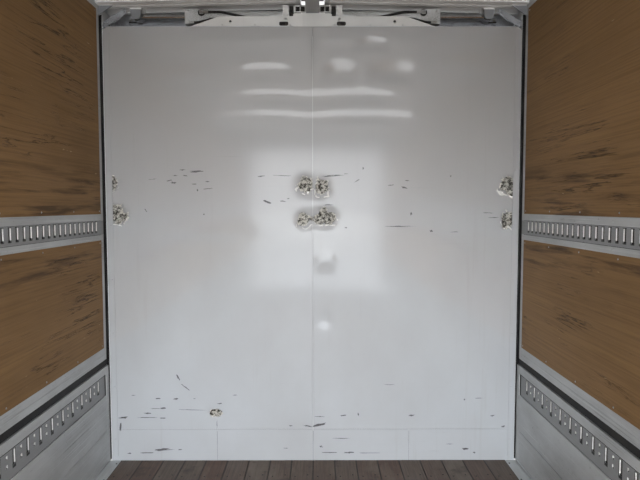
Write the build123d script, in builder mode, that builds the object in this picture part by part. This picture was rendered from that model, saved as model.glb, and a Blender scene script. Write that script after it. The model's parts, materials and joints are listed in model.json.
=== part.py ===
from build123d import *
import os
from math import cos, radians, sin, tan

# Wing-side cargo body of a box truck, off its chassis.
# Millimetres. +Y points forward to the front wall, +X to the right, +Z up.
# The origin is the middle of the chassis seat, under the two sills.
# Heights count from the floor, and up() turns them into Z.

# Load space
inner_length = 6200
inner_width = 2200
inner_height = 2310
wall = 45
end_depth = 160
clearance = 5
hinge_play = 0.3

# Floor
sill_spacing = 860
sill_height = 100
sill_width = 56
sill_web = 6
seat_hole_radius = 9
seat_hole_spacing = 4000
cross_height = 80
cross_width = 44
cross_web = 3
cross_pitch = 390
plank_thickness = 28
plank_pitch = 116
plank_gap = 1.5
edge_strip_least = 30
rail_wall = 4
rail_setback = 5
lamp_length = 90
lamp_height = 24
lamp_depth = 9
lamp_rise = 24
buffer_width = 100
buffer_height = 100
buffer_depth = 30
buffer_inset = 142
buffer_round = 8

# Gates
gate_foot = 8
gate_height = 522
gate_wall = 4
gate_rim = 40
gate_recess_height = 115
gate_recess_depth = 6
gate_groove = 3
gate_groove_low = 20
gate_groove_high = 180
gate_post_width = 60
gate_hinge_rise = 13
gate_hinge_out = 10
gate_hinge_spacing = 1200
knuckle_radius = 8
knuckle_length = 50
strap_height = 90
strap_thickness = 6
latch_drop = 60
latch_inset = 60
latch_width = 40
latch_height = 90
latch_depth = 12

# Lashing rails
slot_pitch = 50
slot_width = 20
slot_height = 52
slot_rise = 69
gate_slot_rise = 72
gate_slot_width = 18
gate_slot_height = 60
gate_hole_width = 14
gate_hole_spacing = 34

# Wing side
seal_height = 35
seal_width = 25
seal_setback = 4
wing_sill_height = 65
wing_sill_wall = 4
wing_rail_low = 1205
wing_rail_height = 135
lashing_rail_depth = 24
lashing_rail_wall = 3
plywood = 9
skin = 3
end_frame = 30
corner_rail_height = 35
corner_rail_lap = 10
lip_drop = 15

# Roof
roof_slope = 1.5
roof_gap = 10
roof_corner_radius = 40
roof_corner_width = 70
bow_height = 50
bow_width = 40
bow_wall = 3
bow_count = 11
front_bow_lead = 10
end_bow_margin = 30
ridge_rail_width = 25
hinge_x = 50
hinge_drop = 8
hinge_radius = 9
hinge_length = 60
hinge_count = 6
ridge_gap = 13
gusset_drop = 52
gusset_reach = 80
gusset_thickness = 6

# Centre beam
beam_width = 70
beam_height = 85
beam_wall = 5
beam_drop = 20
leaf_height = 30
gutter_wall = 3
end_bracket_width = 62
end_bracket_height = 38
end_bracket_corner = 12

# Front wall
pillar_width = 53
pillar_radius = 25
pillar_wall = 4
end_skin = 3
lining = 3
lining_lap = 2
lining_corner = 30
sheet_gap = 1
kick_height = 173
kick_seam = 520
front_base_height = 100

# Header over the front wall and over the rear doorway
header_height = 90
header_plate = 6
header_beam_depth = 40
header_beam_web = 3
brace_foot = 62
brace_top_near = 95
brace_top_far = 158
brace_drop = 10
guard_height = 57
guard_thickness = 3
guard_inner = 100
guard_length = 382
guard_slope = 151
guard_hole_inset = 54
guard_hole_rise = 30
guard_hole_radius = 7
guard_slot_inset = 50
guard_slot_rise = 19
guard_slot_length = 50
guard_slot_height = 22
centre_plate_width = 200
centre_plate_corner = 8

# Lifting cylinders
cylinder_rise = 70
cylinder_inset = 60
cylinder_base_x = 140
cylinder_eye_inset = 175
barrel_radius = 30
barrel_length = 409
rod_radius = 15
rod_fit = 0.4
rod_hidden_length = 380
head_length = 119
head_depth = 66
head_rise = 32
head_drop = 42
eye_radius = 23
eye_width = 34
eye_bore = 12
eye_sink = 5
base_pin_radius = 10
base_pin_over = 6
base_cheek_gap = 10
base_cheek = 8
base_cheek_width = 30
base_cheek_rise = 45
wing_cheek = 10
wing_cheek_gap = 13
wing_cheek_drop = 21
wing_cheek_chamfer = 12
wing_cheek_foot = 12
wing_cheek_top = 36
hose_radius = 6
hose_bend = 150
hose_lead = 70
hose_fall = 130
tail_hose_lead = 50
tail_hose_crest = 16
port_size = 18
port_wall = 1
port_recess = 5
port_recess_radius = 20
head_port_inset = 86
head_port_rise = 14
tail_port_inset = 12
tail_port_drop = 40
foot_port_x = 215
foot_port_high = 13
foot_port_low = 33

# Rear doors, in line with the hinge pin
door_foot = 20
door_lap = 20
door_thickness = 35
door_skin = 3
door_edge = 3
door_angle = 110
door_hinge_out = 35
door_hinge_back = 20
door_edge_gap = 3
door_reach = 40
door_hinge_inset = 180
door_hinge_count = 4
door_knuckle = 30
door_plate_length = 80
door_leaf_width = 14
door_blade_length = 130
lock_rod_radius = 11
lock_rod_inset = 150
lock_rod_below = 50
lock_rod_above = 30
lock_guide = 60
lock_guide_inset = 100
lock_guide_count = 4
handle_rise = 1095
handle_height = 30
handle_length = 320
handle_thickness = 12
handle_foot = 40

# Places across and along
inner = inner_width / 2
outer = inner + wall
end_in = inner_length / 2
end_out = end_in + end_depth
wing_end = end_in - clearance
frame_end = wing_end - seal_width
lining_end = frame_end - end_frame
ridge_x = hinge_x + ridge_gap
plank_count = int((inner_width - 2 * edge_strip_least) / plank_pitch)
planks_half = plank_count * plank_pitch / 2
pillar_x = outer - pillar_width
rail_outer = outer - rail_setback
buffer_x = pillar_x - buffer_inset
gate_axis_x = outer + gate_hinge_out
door_axis_x = outer + door_hinge_out
door_axis_y = -(end_out + door_hinge_back)
cylinder_y = end_in + cylinder_inset
cylinder_eye_x = inner - cylinder_eye_inset
slope = tan(radians(roof_slope))

# Places above the floor
gate_top = gate_foot + gate_height
gate_recess_high = gate_top - gate_rim
gate_recess_low = gate_recess_high - gate_recess_height
seal_foot = gate_top + clearance
wing_foot = seal_foot + seal_height
wing_sill_top = wing_foot + wing_sill_height
wing_rail_high = wing_rail_low + wing_rail_height
header_foot = inner_height
header_top = header_foot + header_height
lining_top = header_foot + lining_lap
guard_top = header_foot + guard_height
cylinder_height = header_foot + cylinder_rise
bow_foot = header_top + roof_gap
ridge_height = bow_foot + bow_height + skin + (inner - ridge_x) * slope
beam_top = ridge_height - beam_drop
beam_foot = beam_top - beam_height
corner_top = bow_foot + corner_rail_lap
corner_foot = corner_top - corner_rail_height
roof_lip = corner_top - lip_drop
door_top = header_foot + door_lap

# Z of the floor and of the hinge lines
rail_foot = sill_height
floor_top = sill_height + cross_height + plank_thickness
gate_axis_z = floor_top + gate_foot - gate_hinge_rise
hinge_z = floor_top + ridge_height - hinge_drop


def up(height):
    """Z of a height above the floor."""
    return floor_top + height


def roof_z(x, depth=0):
    """Z of the sloping roof at a distance x from the middle, some way below its skin."""
    return floor_top + ridge_height - (x - ridge_x) * slope - depth


def evenly(first, last, count):
    """Places at even steps from the first to the last."""
    return [first + step * (last - first) / (count - 1) for step in range(count)]


def block(x, y, z, mode=Mode.ADD):
    """A box between pairs of limits, inside the open part."""
    with Locations(((x[0] + x[1]) / 2, (y[0] + y[1]) / 2, (z[0] + z[1]) / 2)):
        Box(x[1] - x[0], y[1] - y[0], z[1] - z[0], mode=mode)


def hollow_block(x, y, z, thickness):
    """A closed box section between pairs of limits, with walls of one thickness."""
    block(x, y, z)
    cavity = ((low + thickness, high - thickness) for low, high in (x, y, z))
    block(*cavity, mode=Mode.SUBTRACT)


def long_profile(points, start, end, mode=Mode.ADD):
    """A closed outline in X and Z, drawn out along Y."""
    with BuildSketch(Plane.XZ.offset(-end)) as outline:
        Polygon(*points, align=None)
    extrude(outline.sketch, amount=end - start, mode=mode)


def pin_along_y(x, z, radius, start, end, mode=Mode.ADD):
    """A round bar along Y."""
    with BuildSketch(Plane.XZ.offset(-end)) as outline:
        with Locations((x, z)):
            Circle(radius)
    extrude(outline.sketch, amount=end - start, mode=mode)


def finish(piece, name):
    """Names a finished piece and writes it."""
    piece.part.label = name
    export_step(piece.part, f"parts/{name}.step")


def finish_pair(piece, name):
    """Writes a right-hand piece and its left-hand twin."""
    finish(piece, f"{name}_right")
    with BuildPart() as twin:
        mirror(piece.part, about=Plane.YZ)
    finish(twin, f"{name}_left")


os.makedirs("parts", exist_ok=True)

# Sills: two channels that lie on the chassis, open inwards
sill_inner = (sill_spacing - sill_width) / 2
sill_outer = (sill_spacing + sill_width) / 2
with BuildPart() as sills:
    long_profile(
        (
            (sill_inner, 0),
            (sill_outer, 0),
            (sill_outer, sill_height),
            (sill_inner, sill_height),
            (sill_inner, sill_height - sill_web),
            (sill_outer - sill_web, sill_height - sill_web),
            (sill_outer - sill_web, sill_web),
            (sill_inner, sill_web),
        ),
        -end_out,
        end_out,
    )
    with Locations((sill_spacing / 2, 0, 0)):
        with GridLocations(1, seat_hole_spacing, 1, 2):
            Cylinder(seat_hole_radius, 2 * sill_web, mode=Mode.SUBTRACT)
    mirror(about=Plane.YZ)
finish(sills, "sills")

# Cross-members: I sections on the sills, one row along the floor
cross_count = int((2 * end_in - cross_width) / cross_pitch) + 1
cross_side = cross_width / 2
with BuildPart() as cross_members:
    with BuildSketch(Plane.YZ.offset(-inner)):
        with Locations((0, sill_height + cross_height / 2)):
            with GridLocations(cross_pitch, 1, cross_count, 1):
                Rectangle(cross_width, cross_height)
                for hand in (-1, 1):
                    with Locations((hand * (cross_side + cross_web) / 2, 0)):
                        Rectangle(
                            cross_side - cross_web,
                            cross_height - 2 * cross_web,
                            mode=Mode.SUBTRACT,
                        )
    extrude(amount=inner_width)
finish(cross_members, "cross_members")

# Floor planks side by side, on the cross-members
with BuildPart() as floor_planks:
    with BuildSketch(Plane.XY.offset(floor_top - plank_thickness)):
        with GridLocations(plank_pitch, 1, plank_count, 1):
            Rectangle(plank_pitch - plank_gap, 2 * end_in)
    extrude(amount=plank_thickness)
finish(floor_planks, "floor_planks")

# Gate hinges: where they sit along the body, and the lamps midway between them
gate_length = end_in - clearance - gate_post_width / 2 - clearance
gate_middle = gate_post_width / 2 + clearance + gate_length / 2
gate_hinge_steps = (-gate_hinge_spacing, 0, gate_hinge_spacing)
fixed_knuckle_shift = knuckle_length + hinge_play

# Side rails: hollow edge sections with a flange over the plank ends
with BuildPart() as side_rails:
    long_profile(
        (
            (planks_half, floor_top - plank_thickness),
            (planks_half + rail_wall, floor_top - plank_thickness),
            (planks_half + rail_wall, floor_top - rail_wall),
            (inner, floor_top - rail_wall),
            (inner, rail_foot),
            (rail_outer, rail_foot),
            (rail_outer, floor_top),
            (planks_half, floor_top),
        ),
        -end_in,
        end_in,
    )
    block(
        (inner + rail_wall, rail_outer - rail_wall),
        (-end_in, end_in),
        (rail_foot + rail_wall, floor_top - rail_wall),
        mode=Mode.SUBTRACT,
    )
    for middle in (-gate_middle, gate_middle):
        for step in gate_hinge_steps:
            place = middle + step + fixed_knuckle_shift
            span = (place - knuckle_length / 2, place + knuckle_length / 2)
            pin_along_y(gate_axis_x, gate_axis_z, knuckle_radius, *span)
            block(
                (rail_outer, rail_outer + strap_thickness),
                span,
                (gate_axis_z - strap_height, gate_axis_z),
            )
            block(
                (rail_outer + strap_thickness, gate_axis_x),
                span,
                (gate_axis_z - knuckle_radius, gate_axis_z),
            )
    mirror(about=Plane.YZ)
finish(side_rails, "side_rails")

# Side marker lamps, midway between the gate hinges
with BuildPart() as marker_lamps:
    for middle in (-gate_middle, gate_middle):
        with Locations((rail_outer + lamp_depth / 2, middle, rail_foot + lamp_rise)):
            with GridLocations(1, gate_hinge_spacing, 1, 2):
                Box(lamp_depth, lamp_length, lamp_height)
    mirror(about=Plane.YZ)
finish(marker_lamps, "marker_lamps")

# Gate posts: the short fixed posts between the front and rear gates
with BuildPart() as gate_posts:
    long_profile(
        (
            (inner, floor_top),
            (rail_outer, floor_top),
            (outer, up(gate_foot)),
            (outer, up(gate_top)),
            (inner, up(gate_top)),
        ),
        -gate_post_width / 2,
        gate_post_width / 2,
    )
    mirror(about=Plane.YZ)
finish(gate_posts, "gate_posts")

# Pillars: one at each corner, the outer upright edge rounded, the rear ones with door hinges
door_hinge_levels = evenly(door_foot + door_hinge_inset, door_top - door_hinge_inset, door_hinge_count)
door_knuckle_shift = hinge_length / 2 + door_knuckle / 2 + hinge_play
pillar_height = up(header_top) - rail_foot
for name, end_sign in (("front_pillars", 1), ("rear_pillars", -1)):
    pillar_middle = ((pillar_x + outer) / 2, end_sign * (end_in + end_out) / 2)
    outer_corner = -1 if end_sign > 0 else 0
    with BuildPart() as pillars:
        with BuildSketch(Plane.XY.offset(rail_foot)):
            with Locations(pillar_middle):
                Rectangle(pillar_width, end_depth)
        extrude(amount=pillar_height)
        outside = pillars.edges().filter_by(Axis.Z).group_by(Axis.X)[-1]
        fillet(outside.sort_by(Axis.Y)[outer_corner], pillar_radius)
        with BuildSketch(Plane.XY.offset(rail_foot + pillar_wall)) as bore:
            with Locations(pillar_middle):
                Rectangle(pillar_width - 2 * pillar_wall, end_depth - 2 * pillar_wall)
            core = bore.vertices().group_by(Axis.X)[-1]
            fillet(core.sort_by(Axis.Y)[outer_corner], pillar_radius - pillar_wall)
        extrude(bore.sketch, amount=pillar_height - 2 * pillar_wall, mode=Mode.SUBTRACT)
        if end_sign < 0:
            for height in door_hinge_levels:
                for level in (up(height) - door_knuckle_shift, up(height) + door_knuckle_shift):
                    span = (level - door_knuckle / 2, level + door_knuckle / 2)
                    block(
                        (outer, outer + strap_thickness),
                        (door_axis_y - hinge_radius, door_axis_y + door_plate_length),
                        span,
                    )
                    block(
                        (outer + strap_thickness, door_axis_x),
                        (door_axis_y - hinge_radius, door_axis_y + hinge_radius),
                        span,
                    )
                    with Locations((door_axis_x, door_axis_y, level)):
                        Cylinder(hinge_radius, door_knuckle)
        mirror(about=Plane.YZ)
    finish(pillars, name)

# Front wall: base rail, painted lining sheets, kick sheets and the outer skin
with BuildPart() as front_base:
    hollow_block(
        (-pillar_x, pillar_x),
        (end_in + lining, end_out - end_skin),
        (rail_foot, up(front_base_height)),
        pillar_wall,
    )
finish(front_base, "front_base_rail")

half_gap = sheet_gap / 2
with BuildPart() as front_lining:
    with BuildSketch(Plane.XZ.offset(-(end_in + lining))):
        with BuildLine():
            FilletPolyline(
                (half_gap, up(kick_height)),
                (pillar_x, up(kick_height)),
                (pillar_x, up(lining_top)),
                (half_gap, up(lining_top)),
                radius=(0, lining_corner),
            )
            Line((half_gap, up(lining_top)), (half_gap, up(kick_height)))
        make_face()
    extrude(amount=lining)
    for kick_sheet in ((half_gap, kick_seam - half_gap), (kick_seam + half_gap, pillar_x)):
        block(kick_sheet, (end_in, end_in + lining), (floor_top, up(kick_height) - sheet_gap))
    mirror(about=Plane.YZ)
finish(front_lining, "front_lining")

# The outer skins of both ends follow the slope of the roof and close the ridge under the beam's top
ridge_tab = ridge_x - clearance
end_peak = header_top + (pillar_x - ridge_tab) * slope
end_outline = (
    (pillar_x, up(header_top)),
    (ridge_tab, up(end_peak)),
    (ridge_tab, up(beam_top)),
    (-ridge_tab, up(beam_top)),
    (-ridge_tab, up(end_peak)),
    (-pillar_x, up(header_top)),
)
with BuildPart() as front_skin:
    long_profile(
        ((-pillar_x, rail_foot), (pillar_x, rail_foot)) + end_outline,
        end_out - end_skin,
        end_out,
    )
finish(front_skin, "front_skin")

# Rear frame: the sill of the doorway and the cover over its header
with BuildPart() as rear_sill:
    hollow_block((-pillar_x, pillar_x), (-end_out, -end_in), (rail_foot, floor_top), pillar_wall)
finish(rear_sill, "rear_sill")

with BuildPart() as rear_cover:
    long_profile(
        ((-pillar_x, up(header_foot)), (pillar_x, up(header_foot))) + end_outline,
        -end_out,
        -end_out + end_skin,
    )
finish(rear_cover, "rear_header_cover")

with BuildPart() as dock_buffers:
    with Locations((buffer_x, -end_out - buffer_depth / 2, (rail_foot + floor_top) / 2)):
        Box(buffer_width, buffer_depth, buffer_height)
    fillet(dock_buffers.edges().group_by(Axis.Y)[0], buffer_round)
    mirror(about=Plane.YZ)
finish(dock_buffers, "dock_buffers")

# Headers: a shelf, a channel beam, the seat of the centre beam and two diagonal braces
shelf_top = header_foot + header_plate
channel_y = end_out - end_skin - header_beam_depth
for name, end_sign in (("front_header", 1), ("rear_header", -1)):
    with BuildPart() as header:
        block(
            (-pillar_x, pillar_x),
            (end_in + lining, end_out - end_skin),
            (up(header_foot), up(shelf_top)),
        )
        with BuildSketch(Plane.YZ.offset(-pillar_x)):
            Polygon(
                (channel_y, up(shelf_top)),
                (channel_y + header_beam_web, up(shelf_top)),
                (channel_y + header_beam_web, up(header_top) - header_beam_web),
                (end_out - end_skin, up(header_top) - header_beam_web),
                (end_out - end_skin, up(header_top)),
                (channel_y, up(header_top)),
                align=None,
            )
        extrude(amount=2 * pillar_x)
        block(
            (-beam_width / 2, beam_width / 2),
            (end_in + lining, channel_y),
            (up(shelf_top), up(beam_foot)),
        )
        for hand in (-1, 1):
            long_profile(
                (
                    (hand * pillar_x, up(shelf_top)),
                    (hand * (pillar_x - brace_foot), up(shelf_top)),
                    (hand * (pillar_x - brace_top_far), up(header_top - brace_drop)),
                    (hand * (pillar_x - brace_top_near), up(header_top - brace_drop)),
                ),
                channel_y - header_plate,
                channel_y,
            )
        if end_sign < 0:
            mirror(about=Plane.XZ, mode=Mode.REPLACE)
    finish(header, name)

# Guard plates before the lifting cylinders, and the plate under the centre beam
guard_shoulder = guard_inner + guard_length
guard_outer = guard_shoulder + guard_slope
centre_plate_top = beam_foot - clearance
centre_plate_height = centre_plate_top - header_foot
with BuildPart() as guard_plates:
    with BuildSketch(Plane.XZ.offset(-(end_in + lining + guard_thickness))):
        Polygon(
            (guard_inner, up(shelf_top)),
            (guard_outer, up(shelf_top)),
            (guard_shoulder, up(guard_top)),
            (guard_inner, up(guard_top)),
            align=None,
        )
        with Locations((guard_shoulder - guard_hole_inset, up(header_foot + guard_hole_rise))):
            Circle(guard_hole_radius, mode=Mode.SUBTRACT)
        with Locations((guard_inner + guard_slot_inset, up(header_foot + guard_slot_rise))):
            SlotOverall(guard_slot_length, guard_slot_height, mode=Mode.SUBTRACT)
    extrude(amount=guard_thickness)
    mirror(about=Plane.YZ)
    with BuildSketch(Plane.XZ.offset(-end_in)):
        with Locations((0, up(header_foot) + centre_plate_height / 2)):
            RectangleRounded(centre_plate_width, centre_plate_height, centre_plate_corner)
    extrude(amount=guard_thickness)
    block(
        (-beam_width / 2, beam_width / 2),
        (end_in, end_in + lining),
        (up(lining_top) + sheet_gap, up(centre_plate_top)),
    )
    mirror(about=Plane.XZ)
finish(guard_plates, "guard_plates")

# Centre beam: a box section from header to header, with rain gutters and the fixed halves of
# the wing hinges
hinge_pitch = 2 * wing_end / hinge_count
hinge_places = evenly(-wing_end + hinge_pitch / 2, wing_end - hinge_pitch / 2, hinge_count)
half_hinge = (hinge_length + hinge_play) / 2
with BuildPart() as centre_beam:
    with BuildSketch(Plane.XZ.offset(-channel_y)):
        with Locations((0, up(beam_top - beam_height / 2))):
            Rectangle(beam_width, beam_height)
            Rectangle(
                beam_width - 2 * beam_wall,
                beam_height - 2 * beam_wall,
                mode=Mode.SUBTRACT,
            )
    extrude(amount=2 * channel_y)
    gutter_z = up(beam_top) - leaf_height
    block(
        (beam_width / 2, ridge_x - clearance),
        (-wing_end, wing_end),
        (gutter_z, gutter_z + gutter_wall),
    )
    for middle in hinge_places:
        span = (middle + half_hinge - hinge_length / 2, middle + half_hinge + hinge_length / 2)
        pin_along_y(hinge_x, hinge_z, hinge_radius, *span)
        block(
            (beam_width / 2, hinge_x - hinge_radius / 2),
            span,
            (gutter_z, hinge_z + hinge_radius / 2),
        )
    mirror(about=Plane.YZ)
finish(centre_beam, "centre_beam")

# Brackets of the lifting cylinders' foot pins, and the angles that tie the beam's ends
near_cheek = cylinder_y - barrel_radius - base_cheek_gap - base_cheek
far_cheek = cylinder_y + barrel_radius + base_cheek_gap
with BuildPart() as cylinder_brackets:
    for start in (near_cheek, far_cheek):
        block(
            (cylinder_base_x - base_cheek_width / 2, cylinder_base_x + base_cheek_width / 2),
            (start, start + base_cheek),
            (up(shelf_top), up(cylinder_height + base_cheek_rise)),
        )
    pin_along_y(
        cylinder_base_x,
        up(cylinder_height),
        base_pin_radius,
        near_cheek - base_pin_over,
        far_cheek + base_cheek + base_pin_over,
    )
    with BuildSketch(Plane.XZ.offset(-(end_in + lining + guard_thickness))) as face:
        with Locations((beam_width / 2, up(beam_foot))):
            Rectangle(end_bracket_width, end_bracket_height, align=Align.MIN)
        foot_corners = face.vertices().group_by(Axis.Y)[0]
        fillet(foot_corners, end_bracket_corner)
    extrude(face.sketch, amount=guard_thickness)
    block(
        (beam_width / 2, beam_width / 2 + guard_thickness),
        (end_in + lining, near_cheek),
        (up(beam_foot) + end_bracket_corner, up(beam_foot) + end_bracket_height),
    )
    mirror(about=Plane.YZ)
    mirror(about=Plane.XZ)
finish(cylinder_brackets, "cylinder_brackets")

# Wing roof: the sheet, the rounded corner section beside it and the two end plates
corner_start = outer - roof_corner_width
plate_drop = skin + hinge_play
plate_side = outer - plate_drop
plate_foot = skin + bow_height
with BuildPart() as wing_roof:
    long_profile(
        (
            (ridge_x, roof_z(ridge_x)),
            (ridge_x, roof_z(ridge_x, skin)),
            (corner_start - hinge_play, roof_z(corner_start - hinge_play, skin)),
            (corner_start - hinge_play, roof_z(corner_start - hinge_play)),
        ),
        -end_out,
        end_out,
    )
    with BuildSketch(Plane.XZ.offset(-end_out)) as corner_section:
        with BuildLine():
            FilletPolyline(
                (corner_start, roof_z(corner_start)),
                (outer, roof_z(outer)),
                (outer, up(roof_lip)),
                radius=roof_corner_radius,
            )
            Line((outer, up(roof_lip)), (outer - skin, up(roof_lip)))
            FilletPolyline(
                (outer - skin, up(roof_lip)),
                (outer - skin, roof_z(outer - skin, skin)),
                (corner_start, roof_z(corner_start, skin)),
                radius=roof_corner_radius - skin,
            )
            Line((corner_start, roof_z(corner_start, skin)), (corner_start, roof_z(corner_start)))
        make_face()
    extrude(corner_section.sketch, amount=2 * end_out)
    for end in (-end_out + skin, end_out):
        with BuildSketch(Plane.XZ.offset(-end)) as end_plate:
            with BuildLine():
                FilletPolyline(
                    (ridge_x, roof_z(ridge_x, plate_drop)),
                    (plate_side, roof_z(plate_side, plate_drop)),
                    (plate_side, roof_z(plate_side, plate_foot)),
                    radius=roof_corner_radius - plate_drop,
                )
                Polyline(
                    (plate_side, roof_z(plate_side, plate_foot)),
                    (ridge_x, roof_z(ridge_x, plate_foot)),
                    (ridge_x, roof_z(ridge_x, plate_drop)),
                )
            make_face()
        extrude(end_plate.sketch, amount=skin)
finish_pair(wing_roof, "wing_roof")

# Roof frame: hinge rail, separate cross bows, corner gussets and the ears of the cylinder rods
rail_side = ridge_x + ridge_rail_width
bow_start = rail_side + hinge_play
bow_reach = frame_end - bow_width / 2
bow_spans = []
for middle in evenly(-bow_reach, bow_reach, bow_count):
    bow_spans.append((middle - bow_width / 2, middle + bow_width / 2))
ear_starts = (
    cylinder_y - eye_width / 2 - wing_cheek_gap - wing_cheek,
    cylinder_y + eye_width / 2 + wing_cheek_gap,
)
header_bows = (
    # start and end of the two bows beside the ears, at the front end
    (end_in - front_bow_lead, ear_starts[0] - hinge_play),
    (ear_starts[1] + wing_cheek + hinge_play, end_out - end_bow_margin),
)
for start, end in header_bows:
    bow_spans.append((start, end))
    bow_spans.append((-end, -start))
with BuildPart() as wing_roof_frame:
    long_profile(
        (
            (ridge_x, roof_z(ridge_x, skin)),
            (ridge_x, roof_z(ridge_x, skin + bow_height)),
            (rail_side, roof_z(rail_side, skin + bow_height)),
            (rail_side, roof_z(rail_side, skin)),
        ),
        -end_out + skin,
        end_out - skin,
    )
    for start, end in bow_spans:
        long_profile(
            (
                (bow_start, roof_z(bow_start, skin)),
                (bow_start, roof_z(bow_start, skin + bow_height)),
                (inner, roof_z(inner, skin + bow_height)),
                (inner, roof_z(inner, skin)),
            ),
            start,
            end,
        )
        long_profile(
            (
                (bow_start + bow_wall, roof_z(bow_start + bow_wall, skin + bow_wall)),
                (bow_start + bow_wall, roof_z(bow_start + bow_wall, skin + bow_height - bow_wall)),
                (inner - bow_wall, roof_z(inner - bow_wall, skin + bow_height - bow_wall)),
                (inner - bow_wall, roof_z(inner - bow_wall, skin + bow_wall)),
            ),
            start + bow_wall,
            end - bow_wall,
            mode=Mode.SUBTRACT,
        )
    ear_foot = up(cylinder_height) - wing_cheek_drop
    ear_middle = (wing_cheek_foot + wing_cheek_top) / 2
    for start in ear_starts + tuple(-start - wing_cheek for start in ear_starts):
        long_profile(
            (
                (cylinder_eye_x - wing_cheek_top, roof_z(cylinder_eye_x - wing_cheek_top, skin)),
                (cylinder_eye_x - ear_middle, ear_foot + wing_cheek_chamfer),
                (cylinder_eye_x - wing_cheek_foot, ear_foot),
                (cylinder_eye_x + wing_cheek_foot, ear_foot),
                (cylinder_eye_x + ear_middle, ear_foot + wing_cheek_chamfer),
                (cylinder_eye_x + wing_cheek_top, roof_z(cylinder_eye_x + wing_cheek_top, skin)),
            ),
            start,
            start + wing_cheek,
        )
    gusset_x = inner - hinge_play
    gusset_depth = skin + bow_height + hinge_play
    for start in (frame_end - gusset_thickness, -frame_end):
        long_profile(
            (
                (gusset_x, roof_z(gusset_x, gusset_depth)),
                (gusset_x, roof_z(gusset_x, gusset_depth + gusset_drop)),
                (gusset_x - gusset_reach, roof_z(gusset_x - gusset_reach, gusset_depth)),
            ),
            start,
            start + gusset_thickness,
        )
    for middle in hinge_places:
        span = (middle - half_hinge - hinge_length / 2, middle - half_hinge + hinge_length / 2)
        pin_along_y(hinge_x, hinge_z, hinge_radius, *span)
        block(
            (hinge_x + hinge_radius / 2, ridge_x),
            span,
            (hinge_z - hinge_radius / 2, hinge_z + hinge_radius / 3),
        )
finish_pair(wing_roof_frame, "wing_roof_frame")

# Wing side: outer sheet, edge frame, plywood lining, lashing rail and rubber seals
with BuildPart() as wing_side:
    block((outer - skin, outer), (-wing_end, wing_end), (up(wing_foot), up(roof_lip)))
finish_pair(wing_side, "wing_side")

with BuildPart() as wing_side_frame:
    block((inner, outer - skin), (-frame_end, frame_end), (up(wing_foot), up(wing_sill_top)))
    block(
        (inner + wing_sill_wall, outer - skin - wing_sill_wall),
        (-frame_end, frame_end),
        (up(wing_foot) + wing_sill_wall, up(wing_sill_top) - wing_sill_wall),
        mode=Mode.SUBTRACT,
    )
    block((inner, outer - skin), (-frame_end, frame_end), (up(corner_foot), up(corner_top)))
    for start in (-frame_end, lining_end):
        block((inner, outer - skin), (start, start + end_frame), (up(wing_sill_top), up(corner_foot)))
finish_pair(wing_side_frame, "wing_side_frame")

with BuildPart() as wing_lining:
    for low, high in ((wing_sill_top, wing_rail_low), (wing_rail_high, corner_foot)):
        block((inner, inner + plywood), (-lining_end, lining_end), (up(low), up(high)))
finish_pair(wing_lining, "wing_lining")

slot_count = int(2 * (lining_end - slot_pitch / 2) / slot_pitch)
rail_back = inner + lashing_rail_depth
rail_face = inner + lashing_rail_wall
with BuildPart() as wing_lashing_rail:
    with BuildSketch(Plane.YZ.offset(inner)):
        with Locations((0, up(wing_rail_low + wing_rail_height / 2))):
            Rectangle(2 * lining_end, wing_rail_height)
        with Locations((0, up(wing_rail_low + slot_rise))):
            with GridLocations(slot_pitch, 1, slot_count, 1):
                Rectangle(slot_width, slot_height, mode=Mode.SUBTRACT)
    extrude(amount=lashing_rail_wall)
    long_profile(
        (
            (rail_face, up(wing_rail_low)),
            (rail_back, up(wing_rail_low)),
            (rail_back, up(wing_rail_high)),
            (rail_face, up(wing_rail_high)),
            (rail_face, up(wing_rail_high) - lashing_rail_wall),
            (rail_back - lashing_rail_wall, up(wing_rail_high) - lashing_rail_wall),
            (rail_back - lashing_rail_wall, up(wing_rail_low) + lashing_rail_wall),
            (rail_face, up(wing_rail_low) + lashing_rail_wall),
        ),
        -lining_end,
        lining_end,
    )
finish_pair(wing_lashing_rail, "wing_lashing_rail")

seal_x = (inner + seal_setback, outer - skin)
with BuildPart() as wing_seals:
    block(seal_x, (-wing_end, wing_end), (up(seal_foot), up(wing_foot)))
    for start in (-wing_end, frame_end):
        block(seal_x, (start, start + seal_width), (up(wing_foot), up(roof_lip) - clearance))
finish_pair(wing_seals, "wing_seals")

# Gates: hollow panels with a sunk lashing rail, on hinges along the side rail
recess_x = inner + gate_recess_depth
gate_cavities = (
    # lowest, highest, wall face on the load side
    (gate_foot + gate_wall, gate_groove_high - gate_wall, inner + gate_groove + gate_wall),
    (gate_groove_high + gate_groove + gate_wall, gate_recess_low - gate_wall, inner + gate_wall),
    (gate_recess_low + gate_wall, gate_recess_high - gate_wall, recess_x + gate_wall),
    (gate_recess_high + gate_wall, gate_top - gate_wall, inner + gate_wall),
)
gate_face = [(inner, up(gate_foot))]
for low in (gate_groove_low, gate_groove_high):
    gate_face.append((inner, up(low)))
    gate_face.append((inner + gate_groove, up(low)))
    gate_face.append((inner + gate_groove, up(low + gate_groove)))
    gate_face.append((inner, up(low + gate_groove)))
gate_face.append((inner, up(gate_recess_low)))
gate_face.append((recess_x, up(gate_recess_low)))
gate_face.append((recess_x, up(gate_recess_high)))
gate_face.append((inner, up(gate_recess_high)))
gate_outline = gate_face + [(inner, up(gate_top)), (outer, up(gate_top)), (outer, up(gate_foot))]
tall_count = int(gate_length / (2 * slot_pitch)) - 1
gate_slot_z = up(gate_recess_low + gate_slot_rise)
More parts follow.
